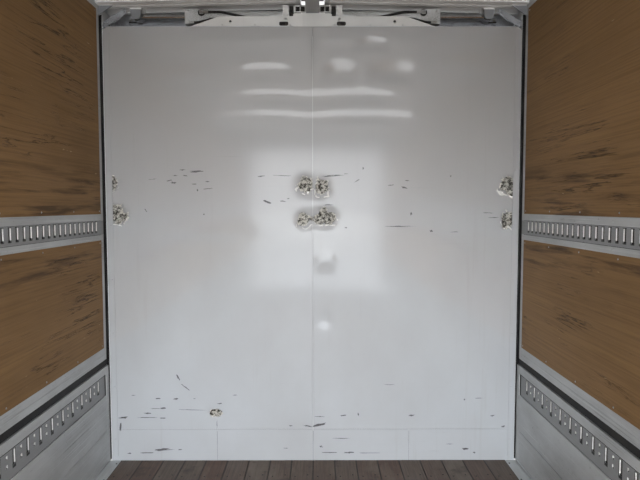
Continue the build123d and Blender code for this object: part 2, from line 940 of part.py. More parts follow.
for place_name, gate_sign in (("front", 1), ("rear", -1)):
    middle = gate_sign * gate_middle
    start = middle - gate_length / 2
    end = middle + gate_length / 2
    with BuildPart() as gate:
        long_profile(gate_outline, start, end)
        for low, high, face_x in gate_cavities:
            block(
                (face_x, outer - gate_wall),
                (start + gate_wall, end - gate_wall),
                (up(low), up(high)),
                mode=Mode.SUBTRACT,
            )
        with BuildSketch(Plane.YZ.offset(recess_x)):
            with Locations((middle, gate_slot_z)):
                with GridLocations(2 * slot_pitch, 1, tall_count, 1):
                    Rectangle(gate_slot_width, gate_slot_height)
                with GridLocations(2 * slot_pitch, gate_hole_spacing, tall_count - 1, 2):
                    Rectangle(gate_hole_width, gate_hole_width)
        extrude(amount=gate_wall, mode=Mode.SUBTRACT)
    finish_pair(gate, f"gate_{place_name}")

    with BuildPart() as hardware:
        for step in gate_hinge_steps:
            span = (middle + step - knuckle_length / 2, middle + step + knuckle_length / 2)
            pin_along_y(gate_axis_x, gate_axis_z, knuckle_radius, *span)
            block((outer, outer + strap_thickness), span, (gate_axis_z, up(strap_height)))
            block((outer, gate_axis_x), span, (gate_axis_z, gate_axis_z + knuckle_radius))
        latch_z = up(gate_top - latch_drop)
        for place in (start + latch_inset, end - latch_inset):
            block(
                (outer, outer + latch_depth),
                (place - latch_width / 2, place + latch_width / 2),
                (latch_z - latch_height / 2, latch_z + latch_height / 2),
            )
    finish_pair(hardware, f"gate_{place_name}_hinges")

# Lifting cylinders: barrel with its foot eye, head block and ports, rod with its eye, feed hoses
cylinder_z = up(cylinder_height)
barrel_start_x = cylinder_base_x + eye_radius - eye_sink
head_start_x = cylinder_base_x + barrel_length
head_end_x = head_start_x + head_length
head_front = cylinder_y - head_depth / 2
hose_y = cylinder_y - barrel_radius - clearance - hose_radius
half_port = port_size / 2
port_front = hose_y - hose_radius - port_wall
head_port = (head_end_x - head_port_inset, cylinder_z + head_port_rise)
tail_port = (head_end_x - tail_port_inset, cylinder_z - tail_port_drop)
foot_ports = (
    # x, z
    (foot_port_x, cylinder_z - foot_port_high),
    (foot_port_x, cylinder_z - foot_port_low),
)
hose_routes = (
    # from the head block to the foot of the barrel, points in X and Z
    (
        (head_port[0] - half_port, head_port[1]),
        (head_start_x - hose_lead, head_port[1]),
        (head_start_x - hose_lead - hose_fall, foot_ports[0][1]),
        (foot_port_x + half_port, foot_ports[0][1]),
    ),
    (
        (tail_port[0] - half_port, tail_port[1]),
        (head_start_x + tail_hose_lead, tail_port[1]),
        (head_start_x - tail_hose_lead, cylinder_z - tail_hose_crest),
        (head_start_x - hose_lead - tail_hose_lead, foot_ports[1][1]),
        (foot_port_x + half_port, foot_ports[1][1]),
    ),
)
for place_name, end_sign in (("front", 1), ("rear", -1)):
    with BuildPart() as barrel:
        eye_span = (cylinder_y - barrel_radius, cylinder_y + barrel_radius)
        pin_along_y(cylinder_base_x, cylinder_z, eye_radius, *eye_span)
        with BuildSketch(Plane.YZ.offset(barrel_start_x)):
            with Locations((cylinder_y, cylinder_z)):
                Circle(barrel_radius)
        extrude(amount=head_start_x - barrel_start_x)
        block(
            (head_start_x, head_end_x),
            (head_front, head_front + head_depth),
            (cylinder_z - head_drop, cylinder_z + head_rise),
        )
        pin_along_y(*head_port, port_recess_radius, head_front, head_front + port_recess, mode=Mode.SUBTRACT)
        for x, z in (head_port, tail_port):
            block(
                (x - half_port, x + half_port),
                (port_front, head_front + port_recess),
                (z - half_port, z + half_port),
            )
        for x, z in foot_ports:
            block(
                (x - half_port, x + half_port),
                (port_front, cylinder_y),
                (z - half_port, z + half_port),
            )
        pin_along_y(
            cylinder_base_x,
            cylinder_z,
            base_pin_radius + rod_fit,
            *eye_span,
            mode=Mode.SUBTRACT,
        )
        with BuildSketch(Plane.YZ.offset(head_end_x)):
            with Locations((cylinder_y, cylinder_z)):
                Circle(rod_radius + rod_fit)
        extrude(amount=-(rod_hidden_length + base_pin_radius), mode=Mode.SUBTRACT)
        if end_sign < 0:
            mirror(about=Plane.XZ, mode=Mode.REPLACE)
    finish_pair(barrel, f"cylinder_{place_name}_barrel")

    with BuildPart() as hoses:
        for route in hose_routes:
            with BuildLine(Plane.XZ.offset(-hose_y)) as path:
                FilletPolyline(*route, radius=hose_bend)
            with BuildSketch(Plane.YZ.offset(route[0][0])) as section:
                with Locations((hose_y, route[0][1])):
                    Circle(hose_radius)
            sweep(section.sketch, path=path.line)
        if end_sign < 0:
            mirror(about=Plane.XZ, mode=Mode.REPLACE)
    finish_pair(hoses, f"cylinder_{place_name}_hoses")

    with BuildPart() as rod:
        rod_start = head_end_x - rod_hidden_length
        with BuildSketch(Plane.YZ.offset(rod_start)):
            with Locations((cylinder_y, cylinder_z)):
                Circle(rod_radius)
        extrude(amount=cylinder_eye_x - eye_radius + eye_sink - rod_start)
        eye_span = (cylinder_y - eye_width / 2, cylinder_y + eye_width / 2)
        pin_along_y(cylinder_eye_x, cylinder_z, eye_radius, *eye_span)
        pin_along_y(cylinder_eye_x, cylinder_z, eye_bore, *eye_span, mode=Mode.SUBTRACT)
        if end_sign < 0:
            mirror(about=Plane.XZ, mode=Mode.REPLACE)
    finish_pair(rod, f"cylinder_{place_name}_rod")

# Rear doors: panels held open on their hinge pins, with lock rods
swing = radians(door_angle)
door_plane = Plane(
    origin=(door_axis_x, door_axis_y, 0),
    x_dir=(cos(swing), sin(swing), 0),
    z_dir=(0, 0, 1),
)
door_far = -(door_axis_x - door_edge_gap)
door_inner_face = door_hinge_back - clearance
door_outer_face = door_inner_face - door_thickness
with BuildPart(door_plane) as rear_door:
    hollow_block(
        (door_far, -door_reach),
        (door_outer_face, door_inner_face),
        (up(door_foot), up(door_top)),
        door_skin,
    )
    fillet(rear_door.edges().filter_by(Axis.Z).sort_by(Axis.Y)[:1], door_edge)
finish_pair(rear_door, "rear_door")

strap_y = door_outer_face - strap_thickness
with BuildPart(door_plane) as door_hardware:
    for height in door_hinge_levels:
        span = (up(height) - hinge_length / 2, up(height) + hinge_length / 2)
        with Locations((0, 0, up(height))):
            Cylinder(hinge_radius, hinge_length)
        block((-door_leaf_width, 0), (strap_y, 0), span)
        block((-door_blade_length, 0), (strap_y, door_outer_face), span)
    lock_x = door_far + lock_rod_inset
    lock_y = strap_y - lock_rod_radius / 2
    lock_span = (up(door_foot - lock_rod_below), up(door_top + lock_rod_above))
    with Locations((lock_x, lock_y, (lock_span[0] + lock_span[1]) / 2)):
        Cylinder(lock_rod_radius, lock_span[1] - lock_span[0])
    for height in evenly(door_foot + lock_guide_inset, door_top - lock_guide_inset, lock_guide_count):
        block(
            (lock_x - lock_guide / 2, lock_x + lock_guide / 2),
            (strap_y, door_outer_face),
            (up(height) - lock_guide / 2, up(height) + lock_guide / 2),
        )
    handle_span = (up(handle_rise) - handle_height / 2, up(handle_rise) + handle_height / 2)
    block(
        (lock_x, lock_x + handle_length),
        (lock_y - handle_thickness / 2, lock_y + handle_thickness / 2),
        handle_span,
    )
    block(
        (lock_x + handle_length - handle_foot, lock_x + handle_length),
        (lock_y, door_outer_face),
        handle_span,
    )
finish_pair(door_hardware, "rear_door_lock")
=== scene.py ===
# %% [markdown]
# A cargo body of a box truck with swing-up side wings, seen from inside its load space.
# The body's construction comes ready made, with every piece at its real place and size. This
# lesson gives each piece its finish and adds what is too small or too irregular for that model:
# dents, scratches, bolts, rivets and pressed lips. Everything is in metres, +Y points forward to
# the front wall, +X to the right and +Z up, and the load floor lies at FLOOR.

import json
from math import atan, atan2, pi, radians, tan

import bmesh
import bpy
from mathutils import Matrix, Vector, noise


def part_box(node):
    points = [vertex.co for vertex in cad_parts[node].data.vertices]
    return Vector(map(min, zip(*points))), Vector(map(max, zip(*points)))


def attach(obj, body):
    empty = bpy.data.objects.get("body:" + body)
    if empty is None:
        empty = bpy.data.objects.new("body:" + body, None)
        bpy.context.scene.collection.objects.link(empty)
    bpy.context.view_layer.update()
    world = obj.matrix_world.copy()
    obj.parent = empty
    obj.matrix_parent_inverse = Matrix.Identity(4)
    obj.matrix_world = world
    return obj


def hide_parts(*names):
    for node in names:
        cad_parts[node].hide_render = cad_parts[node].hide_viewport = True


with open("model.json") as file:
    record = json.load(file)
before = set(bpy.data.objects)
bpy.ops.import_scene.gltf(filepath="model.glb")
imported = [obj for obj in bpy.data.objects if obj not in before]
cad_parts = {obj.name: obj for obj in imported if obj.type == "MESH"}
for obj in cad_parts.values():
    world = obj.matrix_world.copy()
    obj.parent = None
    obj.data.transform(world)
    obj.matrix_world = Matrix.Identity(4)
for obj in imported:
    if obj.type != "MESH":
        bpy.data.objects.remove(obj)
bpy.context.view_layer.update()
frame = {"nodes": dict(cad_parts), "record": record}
nodes = frame["nodes"]

# %% [markdown]
# The camera stands inside the load space, a little in front of its middle, and looks at the front
# wall. Its height, pitch and focal length were worked out from the straight lines of the floor, the
# lashing rails and the front wall. A camera looks along its own -Z, so a turn of 90 degrees about X
# makes it look along +Y, and the pitch takes a few degrees from that.

# %% Camera
IMAGE_WIDTH = 640
FOCAL_PIXELS = 561.5
CAMERA_PLACE = (0.032, 0.119, 1.586)
PITCH = 3.40
YAW = 0.12
ROLL = 0.04

camera_data = bpy.data.cameras.new("load_space_camera")
camera_data.sensor_width = 36
camera_data.lens = FOCAL_PIXELS / IMAGE_WIDTH * camera_data.sensor_width
camera_data.clip_start = 0.02
camera = bpy.data.objects.new("load_space_camera", camera_data)
camera.location = CAMERA_PLACE
camera.rotation_euler = (radians(90 - PITCH), radians(ROLL), radians(-YAW))
bpy.context.scene.collection.objects.link(camera)
bpy.context.scene.camera = camera
print("lens", round(camera_data.lens, 2), "mm")

# %% [markdown]
# Sizes that many pieces share are read from the body's own boxes, so that a piece always sits on
# what carries it.

# %% Shared sizes
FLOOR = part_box("floor_planks")[1].z
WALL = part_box("wing_lining_right")[0].x
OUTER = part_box("wing_side_right")[1].x
FRONT_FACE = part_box("front_lining")[0].y
LINING_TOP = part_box("front_lining")[1].z
LINING_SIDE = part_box("front_lining")[1].x
PROUD = 0.0004
HANDS = {"right": 1, "left": -1}
ENDS = {"front": 1, "rear": -1}
print("floor", round(FLOOR, 3), "wall", round(WALL, 3), "outer", round(OUTER, 3))

# %% [markdown]
# Most finishes need the same few nodes: a pattern stretched along one direction, a range picked out
# of it, a mix of two colours and a bump. Two small classes keep those calls short: one adds nodes
# to any tree, and one holds a material, its shader and its colour so far. Patterns read Object
# coordinates, which are metres here, so a stretch is written as cycles per metre.

# %% A helper for finishes
class Nodes:
    """Short calls that add nodes to a tree."""

    def __init__(self, tree):
        self.tree = tree

    def add(self, kind, inputs=None, **properties):
        """A node with its properties set, and its inputs linked or given a value."""
        node = self.tree.nodes.new(kind)
        for name, value in properties.items():
            setattr(node, name, value)
        for name, value in (inputs or {}).items():
            if isinstance(value, bpy.types.NodeSocket):
                self.tree.links.new(value, node.inputs[name])
            else:
                node.inputs[name].default_value = value
        return node

    def maths(self, operation, first, second=0.0):
        """One arithmetic step."""
        return self.add("ShaderNodeMath", {0: first, 1: second}, operation=operation).outputs[0]

    def times(self, result, *values):
        """A product."""
        for value in values:
            result = self.maths("MULTIPLY", result, value)
        return result

    def most(self, result, *values):
        """The largest of some values."""
        for value in values:
            result = self.maths("MAXIMUM", result, value)
        return result

    def ramp(self, value, low, high, start=0.0, end=1.0):
        """Start below low, end above high, and a straight line between them."""
        inputs = {"Value": value, "From Min": low, "From Max": high, "To Min": start, "To Max": end}
        return self.add("ShaderNodeMapRange", inputs, clamp=True).outputs["Result"]


class Finish(Nodes):
    """One material while it is built: its shader, its colour so far and its patterns."""

    def __init__(self, name, **settings):
        self.material = bpy.data.materials.new(name)
        self.material.use_nodes = True
        super().__init__(self.material.node_tree)
        self.shader = self.tree.nodes["Principled BSDF"]
        for socket, value in settings.items():
            self.shader.inputs[socket.replace("_", " ")].default_value = value
        self.place = self.add("ShaderNodeTexCoord").outputs["Object"]

    def clouds(self, cycles, detail=4.0, roughness=0.6, warp=0.0):
        """Noise with so many cycles per metre, all ways alike or along X, Y and Z."""
        scale = cycles if isinstance(cycles, tuple) else (cycles, cycles, cycles)
        mapping = self.add("ShaderNodeMapping", {"Vector": self.place, "Scale": scale})
        settings = {"Vector": mapping.outputs[0], "Scale": 1.0, "Detail": detail}
        settings["Roughness"] = roughness
        settings["Distortion"] = warp
        return self.add("ShaderNodeTexNoise", settings).outputs["Fac"]

    def axis(self, name):
        """One coordinate of the place, in metres."""
        return self.add("ShaderNodeSeparateXYZ", {"Vector": self.place}).outputs[name]

    def band(self, name, low, high, soft):
        """One between two places along an axis, and soft edges to nothing outside them."""
        value = self.axis(name)
        fall = self.ramp(value, high, high + soft, 1.0, 0.0)
        return self.times(self.ramp(value, low - soft, low), fall)

    def base(self, share, first, second):
        """Starts the colour as a mix of two."""
        node = self.add("ShaderNodeMix", data_type="RGBA")
        for socket, value in ((0, share), (6, first), (7, second)):
            if isinstance(value, bpy.types.NodeSocket):
                self.tree.links.new(value, node.inputs[socket])
            else:
                node.inputs[socket].default_value = (*value, 1.0)
        self.colour = node.outputs[2]

    def cover(self, share, tint):
        """Lays a tint over the colour, by a share."""
        self.base(share, self.colour, tint)

    def stain(self, pattern, low, high, amount, tint):
        """Lays a tint over the colour where a pattern is high."""
        self.cover(self.ramp(pattern, low, high, 0.0, amount), tint)

    def attribute(self, name):
        """A value stored on the points of a piece."""
        return self.add("ShaderNodeAttribute", attribute_name=name).outputs["Fac"]

    def bump(self, height, distance, below=None):
        """Small relief, of a height in metres."""
        inputs = {"Height": height, "Distance": distance, "Strength": 1.0}
        if below is not None:
            inputs["Normal"] = below
        return self.add("ShaderNodeBump", inputs).outputs["Normal"]

    def done(self, roughness, normal=None):
        """Links the results to the shader."""
        found = {"Base Color": self.colour, "Roughness": roughness, "Normal": normal}
        for socket, value in found.items():
            if value is not None:
                self.tree.links.new(value, self.shader.inputs[socket])
        return self.material


finishes = {}

# %% [markdown]
# The front wall and its plates are steel sheet, sprayed with a glossy off-white paint. Its colour
# is lighter and bluer towards the floor and darker and greyer towards the top: painted light, for
# the doorway's light that falls more on the foot of the wall. Years of cargo have drawn fine level
# scuffs across it, thickest near the floor and at waist height, and dust dulls the gloss in soft
# patches. The gloss is what carries the bright picture of the open doorway, so the shader gets a
# clear coat over a slightly metallic base. Where a dent has broken the paint, a value called
# "bare" on the points of the sheet shows grey steel, and a value called "rim" marks the bulged
# lower rim, which gets a painted highlight in near-white. The guard plates and brackets above the
# sheets were painted later and are whiter.

# %% Painted lining
def make_lining_paint():
    paint = Finish("lining_paint", Metallic=0.3, Coat_Weight=0.5, Coat_Roughness=0.05)
    dust = paint.clouds((1.6, 1.6, 1.1), detail=6)
    level = paint.axis("Z")
    # painted light: the paint is lighter and bluer at the foot of the wall and darker at its top
    height = paint.ramp(level, FLOOR + 0.3, FLOOR + 2.0)
    paint.base(height, (0.605, 0.64, 0.685), (0.515, 0.51, 0.505))
    paint.stain(level, LINING_TOP + 0.0005, LINING_TOP + 0.001, 1.0, (0.86, 0.86, 0.84))
    paint.stain(dust, 0.35, 0.7, 0.5, (0.47, 0.48, 0.49))
    paint.stain(paint.clouds((26, 26, 1.2), detail=3), 0.6, 0.75, 0.25, (0.47, 0.47, 0.46))
    scuff = paint.ramp(paint.clouds((2.2, 2.2, 210), detail=5, warp=0.4), 0.66, 0.74)
    patch = paint.ramp(paint.clouds((2.4, 2.4, 2.9), detail=2), 0.5, 0.62)
    low = paint.band("Z", FLOOR, FLOOR + 0.42, 0.12)
    waist = paint.band("Z", FLOOR + 1.30, FLOOR + 1.62, 0.15)
    paint.cover(paint.times(scuff, patch, paint.most(low, waist), 0.55), (0.16, 0.16, 0.17))
    crumple = paint.clouds(75, detail=5, roughness=0.65, warp=0.5)
    broken = paint.maths("ADD", paint.attribute("bare"), paint.ramp(crumple, 0.3, 0.7, -0.35, 0.35))
    bare = paint.ramp(broken, 0.45, 0.55)
    painted = paint.colour
    paint.base(paint.ramp(crumple, 0.42, 0.58), (0.02, 0.019, 0.015), (0.62, 0.61, 0.56))
    paint.base(bare, painted, paint.colour)
    # painted highlight: the bulged lower rim of each dent is painted near-white
    paint.stain(paint.attribute("rim"), 0.35, 0.6, 1.0, (0.97, 0.97, 0.96))
    gloss = paint.maths("ADD", paint.ramp(dust, 0.3, 0.75, 0.06, 0.15), paint.times(bare, 0.25))
    relief = paint.bump(paint.clouds((4, 4, 2.2), detail=1), 0.0008)
    return paint.done(gloss, paint.bump(paint.clouds(900, detail=2), 0.00003, relief))


finishes["white_lining"] = make_lining_paint()
print("painted lining ready")

# %% [markdown]
# Outside, the panels are coated sheet that weather has made a little uneven: rain runs down in
# pale grey streaks, and road dirt rises from below. Coated sheet stays glossy under the dirt, so
# the roughness stays under a half.

# %% Outer panels
def make_panel_coat():
    coat = Finish("panel_coat", Coat_Weight=0.3, Coat_Roughness=0.1)
    cloud = coat.clouds((0.9, 0.9, 1.3), detail=5)
    coat.base(coat.ramp(cloud, 0.35, 0.7), (0.80, 0.81, 0.82), (0.72, 0.735, 0.745))
    coat.stain(coat.clouds((22, 22, 0.9), detail=4), 0.56, 0.78, 0.35, (0.55, 0.55, 0.53))
    rising = coat.ramp(coat.axis("Z"), FLOOR - 0.1, FLOOR + 0.9, 0.42, 0.0)
    dirt = coat.times(rising, coat.ramp(coat.clouds((7, 7, 4), detail=6), 0.35, 0.7))
    coat.cover(dirt, (0.38, 0.35, 0.31))
    relief = coat.bump(coat.clouds(3, detail=1), 0.0015)
    return coat.done(coat.ramp(cloud, 0.3, 0.7, 0.26, 0.42), relief)


finishes["white_panel"] = make_panel_coat()
print("outer panels ready")

# %% [markdown]
# The rails, gates and frames are mill aluminium. Straps and cargo have rubbed them along their
# length, which leaves long pale and dark lines, and a grey film lies in the quieter patches. All
# these rails run along Y, so the rubbing pattern is stretched along Y. The sunk middle of each
# lashing rail is painted a darker grey as shade, and the hollows behind the slots and a ring round
# each slot are painted black as shade; masks on the coordinates find them.

# %% Aluminium
RAILS_STOP = 3.034
SLOTS_STOP = 2.999
FINE_EDGE = 0.0005

# Painted shade: the hollows behind the rails' slots are painted black.
RAIL_HOLLOW_SHADE = (
    # lowest and highest level, nearest and farthest from the middle, nearest to the gate post
    (FLOOR + 1.209, FLOOR + 1.336, WALL + 0.0045, WALL + 0.0340, -1.0),
    (FLOOR + 0.377, FLOOR + 0.488, WALL + 0.0104, WALL + 0.0435, 0.061),
)

# Painted shade: a black ring round each slot of these rows.
SLOT_SHADE_ROWS = (
    # middle of one slot, slots in a metre, half width, start, lowest and highest level, face
    (0.025, 20.0, 0.0115, -1.0, FLOOR + 1.2455, FLOOR + 1.3025, WALL),
    (1.565, 10.0, 0.0125, 0.11, FLOOR + 0.4080, FLOOR + 0.4790, WALL + 0.006),
)


def painted_slot_shade(metal):
    """Painted shade: one behind the slots of the lashing rails and close round them."""
    depth = metal.maths("ABSOLUTE", metal.axis("X"))
    along = metal.maths("ABSOLUTE", metal.axis("Y"))
    masks = []
    for low, high, near, far, post in RAIL_HOLLOW_SHADE:
        inside = metal.band("Z", low, high, FINE_EDGE)
        behind = metal.ramp(depth, near, near + FINE_EDGE)
        before = metal.ramp(depth, far, far + FINE_EDGE, 1.0, 0.0)
        masks.append(metal.times(inside, behind, before, metal.ramp(along, post, post + 0.001)))
    for middle, rate, half, first, low, high, face in SLOT_SHADE_ROWS:
        phase = metal.maths("FRACT", metal.times(metal.maths("SUBTRACT", along, middle), rate))
        from_middle = metal.maths("ABSOLUTE", metal.maths("SUBTRACT", phase, 0.5))
        from_slot = metal.maths("SUBTRACT", 0.5, from_middle)
        ring = metal.times(
            metal.ramp(from_slot, half * rate - 0.01, half * rate, 1.0, 0.0),
            metal.band("Z", low, high, FINE_EDGE),
            metal.ramp(along, first, first + 0.001),
            metal.ramp(along, SLOTS_STOP, SLOTS_STOP + 0.001, 1.0, 0.0),
            metal.ramp(depth, face - 0.0003, face - 0.0001),
            metal.ramp(depth, face + 0.001, face + 0.0013, 1.0, 0.0),
        )
        masks.append(ring)
    found = metal.ramp(along, RAILS_STOP, RAILS_STOP + 0.002, 1.0, 0.0)
    return metal.times(found, metal.most(*masks))


def sunk_web_shade(metal):
    """Painted shade: one on the sunk middle of the lashing rails."""
    depth = metal.maths("ABSOLUTE", metal.axis("X"))
    wing = metal.band("Z", FLOOR + 1.2345, FLOOR + 1.3045, 0.001)
    wing = metal.times(wing, metal.ramp(depth, WALL - 0.0006, WALL - 0.0002))
    gate = metal.band("Z", FLOOR + 0.376 - PROUD, FLOOR + 0.489 - PROUD, 0.001)
    gate = metal.times(gate, metal.ramp(depth, WALL + 0.0045, WALL + 0.005))
    indoors = metal.ramp(depth, OUTER - 0.004, OUTER - 0.003, 1.0, 0.0)
    return metal.times(indoors, metal.most(wing, gate))


def make_rubbed_metal(name, light, dark, metallic):
    metal = Finish(name, Metallic=metallic)
    film = metal.clouds((4, 2.2, 5), detail=6)
    lines = metal.clouds((170, 1.6, 170), detail=5, roughness=0.65)
    metal.base(metal.ramp(film, 0.35, 0.68), light, dark)
    metal.stain(lines, 0.56, 0.7, 0.6, tuple(min(1.0, value * 1.35) for value in light))
    grime = metal.times(metal.ramp(film, 0.5, 0.66), metal.ramp(lines, 0.3, 0.46, 1.0, 0.0), 0.75)
    metal.cover(grime, (0.07, 0.068, 0.06))
    metal.stain(metal.clouds((95, 60, 95), detail=2), 0.7, 0.76, 0.6, (0.10, 0.095, 0.085))
    # painted shade: the sunk middle of each lashing rail is darker
    metal.cover(metal.times(sunk_web_shade(metal), 0.6), (0.19, 0.195, 0.20))
    # painted shade: black in the hollows behind the slots and round them
    metal.cover(metal.times(painted_slot_shade(metal), 0.95), (0.012, 0.012, 0.011))
    return metal.done(metal.ramp(lines, 0.3, 0.7, 0.36, 0.62), metal.bump(lines, 0.0003))


RUBBED_METALS = (
    # slot, material, light colour, dark colour, metallic
    ("rail_aluminium", "mill_aluminium", (0.58, 0.60, 0.605), (0.43, 0.445, 0.45), 0.35),
    ("beam_paint", "beam_paint", (0.36, 0.36, 0.355), (0.28, 0.28, 0.28), 0.15),
)
for slot, *look in RUBBED_METALS:
    finishes[slot] = make_rubbed_metal(*look)
print("aluminium and frames ready")

# %% [markdown]
# Painted steel needs fine specks, chipped edges and a thin layer of dust. One function makes the
# header's grey paint, the cylinders' paint, the black of the floor frame, the zinc of the fittings
# and the chrome of the rods, because they differ only in colour, shine and the tone of their dirt.
# The roof frame is white, apart from the lugs and gussets that hang below its bows, which are
# painted dark grey as shade, so its colour changes at the height where the bows end. Three small
# metals are plainer, and new pieces use them: the steel that shows in scratches, the oily black of
# the header's fittings and the near-white of the rails' lips, a painted highlight.

# %% Painted and plated steel
LUG_HEIGHT = FLOOR + 2.4085

STEELS = (
    # slot, light colour, dark colour, dirt, lowest and highest roughness, metallic
    ("header_paint", (0.43, 0.45, 0.48), (0.34, 0.36, 0.395), (0.13, 0.12, 0.11), (0.35, 0.55), 0.1),
    ("cylinder_paint", (0.62, 0.63, 0.63), (0.50, 0.51, 0.51), (0.16, 0.15, 0.13), (0.3, 0.5), 0.1),
    ("chassis_steel", (0.045, 0.046, 0.05), (0.07, 0.066, 0.06), (0.17, 0.12, 0.08), (0.4, 0.7), 0.1),
    ("zinc_steel", (0.55, 0.56, 0.57), (0.42, 0.42, 0.41), (0.20, 0.15, 0.10), (0.3, 0.55), 0.7),
    ("rod_chrome", (0.70, 0.71, 0.72), (0.62, 0.63, 0.64), (0.30, 0.28, 0.25), (0.1, 0.2), 0.95),
)
GRITTY_METALS = (
    # name, metallic, cycles, detail, range, first colour, second colour, roughness, relief
    ("bared_steel", 0.3, (400, 400, 900), 3, (0.42, 0.6),
     (0.035, 0.035, 0.04), (0.20, 0.20, 0.21), (0.45, 0.7), 0.0002),
    ("black_fittings", 0.4, 60, 4, (0.4, 0.65),
     (0.012, 0.012, 0.013), (0.07, 0.065, 0.06), (0.28, 0.5), 0.0003),
    # painted highlight: the rails' lips, near-white, lighter than the rail's own metal
    ("lip_highlight", 0.05, (200, 200, 60), 3, (0.4, 0.7),
     (0.90, 0.90, 0.89), (0.76, 0.76, 0.75), (0.3, 0.5), 0.0002),
)


def make_steel(name, light, dark, dirt, gloss, metallic):
    steel = Finish(name, Metallic=metallic)
    cloud = steel.clouds(6, detail=6)
    fleck = steel.clouds(150, detail=3)
    steel.base(steel.ramp(cloud, 0.36, 0.66), light, dark)
    steel.cover(steel.times(steel.ramp(cloud, 0.46, 0.62), steel.ramp(fleck, 0.42, 0.62), 0.6), dirt)
    steel.stain(steel.clouds(70, detail=5, roughness=0.75), 0.69, 0.72, 0.7, dirt)
    return steel.done(steel.ramp(cloud, 0.3, 0.7, *gloss), steel.bump(fleck, 0.0002))


def make_gritty_metal(name, metallic, cycles, detail, found, first, second, gloss, relief):
    metal = Finish(name, Metallic=metallic)
    grit = metal.clouds(cycles, detail=detail)
    metal.base(metal.ramp(grit, *found), first, second)
    return metal.done(metal.ramp(grit, 0.3, 0.7, *gloss), metal.bump(grit, relief))


def make_frame_paint():
    paint = Finish("roof_frame_paint")
    cloud = paint.clouds(5, detail=5)
    paint.base(paint.ramp(cloud, 0.36, 0.7), (0.88, 0.88, 0.87), (0.80, 0.80, 0.79))
    paint.stain(paint.clouds((9, 40, 40), detail=4), 0.7, 0.85, 0.25, (0.36, 0.35, 0.33))
    # painted shade: the lugs and gussets below the bows are painted dark grey
    lug_shade = paint.ramp(paint.axis("Z"), LUG_HEIGHT - FINE_EDGE, LUG_HEIGHT, 1.0, 0.0)
    paint.cover(lug_shade, (0.24, 0.25, 0.265))
    relief = paint.bump(paint.clouds(160, detail=3), 0.00006)
    return paint.done(paint.ramp(cloud, 0.3, 0.7, 0.3, 0.5), relief)


finishes["roof_frame"] = make_frame_paint()
for slot, *look in STEELS:
    finishes[slot] = make_steel(f"{slot}_finish", *look)
for name, *look in GRITTY_METALS:
    finishes[name] = make_gritty_metal(name, *look)
print("steels ready", len(STEELS) + len(GRITTY_METALS))

# %% [markdown]
# The side walls are lined with varnished plywood. Its grain runs along the body, its varnish has
# yellowed, and cargo has torn long dark gouges into it. The wood is darkest beside the lashing
# rail, where straps and hooks strike it.

# %% Plywood
def make_plywood():
    wood = Finish("plywood_finish", Specular_IOR_Level=0.25)
    board = wood.clouds((1, 0.6, 1.4), detail=4)
    wood.base(wood.ramp(board, 0.35, 0.68), (0.305, 0.176, 0.070), (0.215, 0.127, 0.054))
    grain = wood.clouds((90, 1.3, 130), detail=8, roughness=0.7, warp=0.1)
    wood.stain(grain, 0.44, 0.68, 0.55, (0.125, 0.066, 0.024))
    pale = wood.clouds((3, 0.8, 18), detail=4, warp=0.2)
    wood.stain(pale, 0.56, 0.72, 0.45, (0.36, 0.215, 0.082))
    gouge_lines = wood.clouds((2, 0.75, 17), detail=6, roughness=0.62, warp=0.4)
    ridge = wood.maths("ABSOLUTE", wood.maths("SUBTRACT", gouge_lines, 0.5))
    torn = wood.ramp(wood.clouds((2, 1.7, 4.5), detail=3), 0.5, 0.62)
    gouge = wood.times(wood.ramp(ridge, 0.0, 0.012, 1.0, 0.0), torn)
    wood.cover(wood.times(gouge, 0.9), (0.035, 0.02, 0.012))
    rail_low, rail_high = (corner.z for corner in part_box("wing_lashing_rail_right"))
    under = wood.band("Z", rail_low - 0.10, rail_low - 0.015, 0.06)
    over = wood.band("Z", rail_high + 0.015, rail_high + 0.16, 0.10)
    struck = wood.ramp(wood.clouds((2, 1.8, 30), detail=6, warp=0.3), 0.50, 0.64)
    wood.cover(wood.times(struck, wood.most(under, over), 0.75), (0.05, 0.028, 0.015))
    wood.stain(wood.clouds((5, 9, 60), detail=3), 0.73, 0.76, 0.8, (0.52, 0.38, 0.22))
    relief = wood.bump(wood.times(gouge, -1.0), 0.002, wood.bump(grain, 0.0006))
    return wood.done(wood.ramp(board, 0.3, 0.7, 0.5, 0.7), relief)


finishes["plywood"] = make_plywood()
print("plywood ready")

# %% [markdown]
# The load floor is hardwood planks, side by side along the body. Each plank has its own tone, so
# its number across the body, counted from the coordinate X, picks a random value. Wheels and
# pallets have worn grey patches into it and left dark stains.

# %% Floor planks
PLANK_PITCH = 0.116
PLANKS_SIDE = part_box("floor_planks")[1].x
GRAIN_SHIFT = 40.0


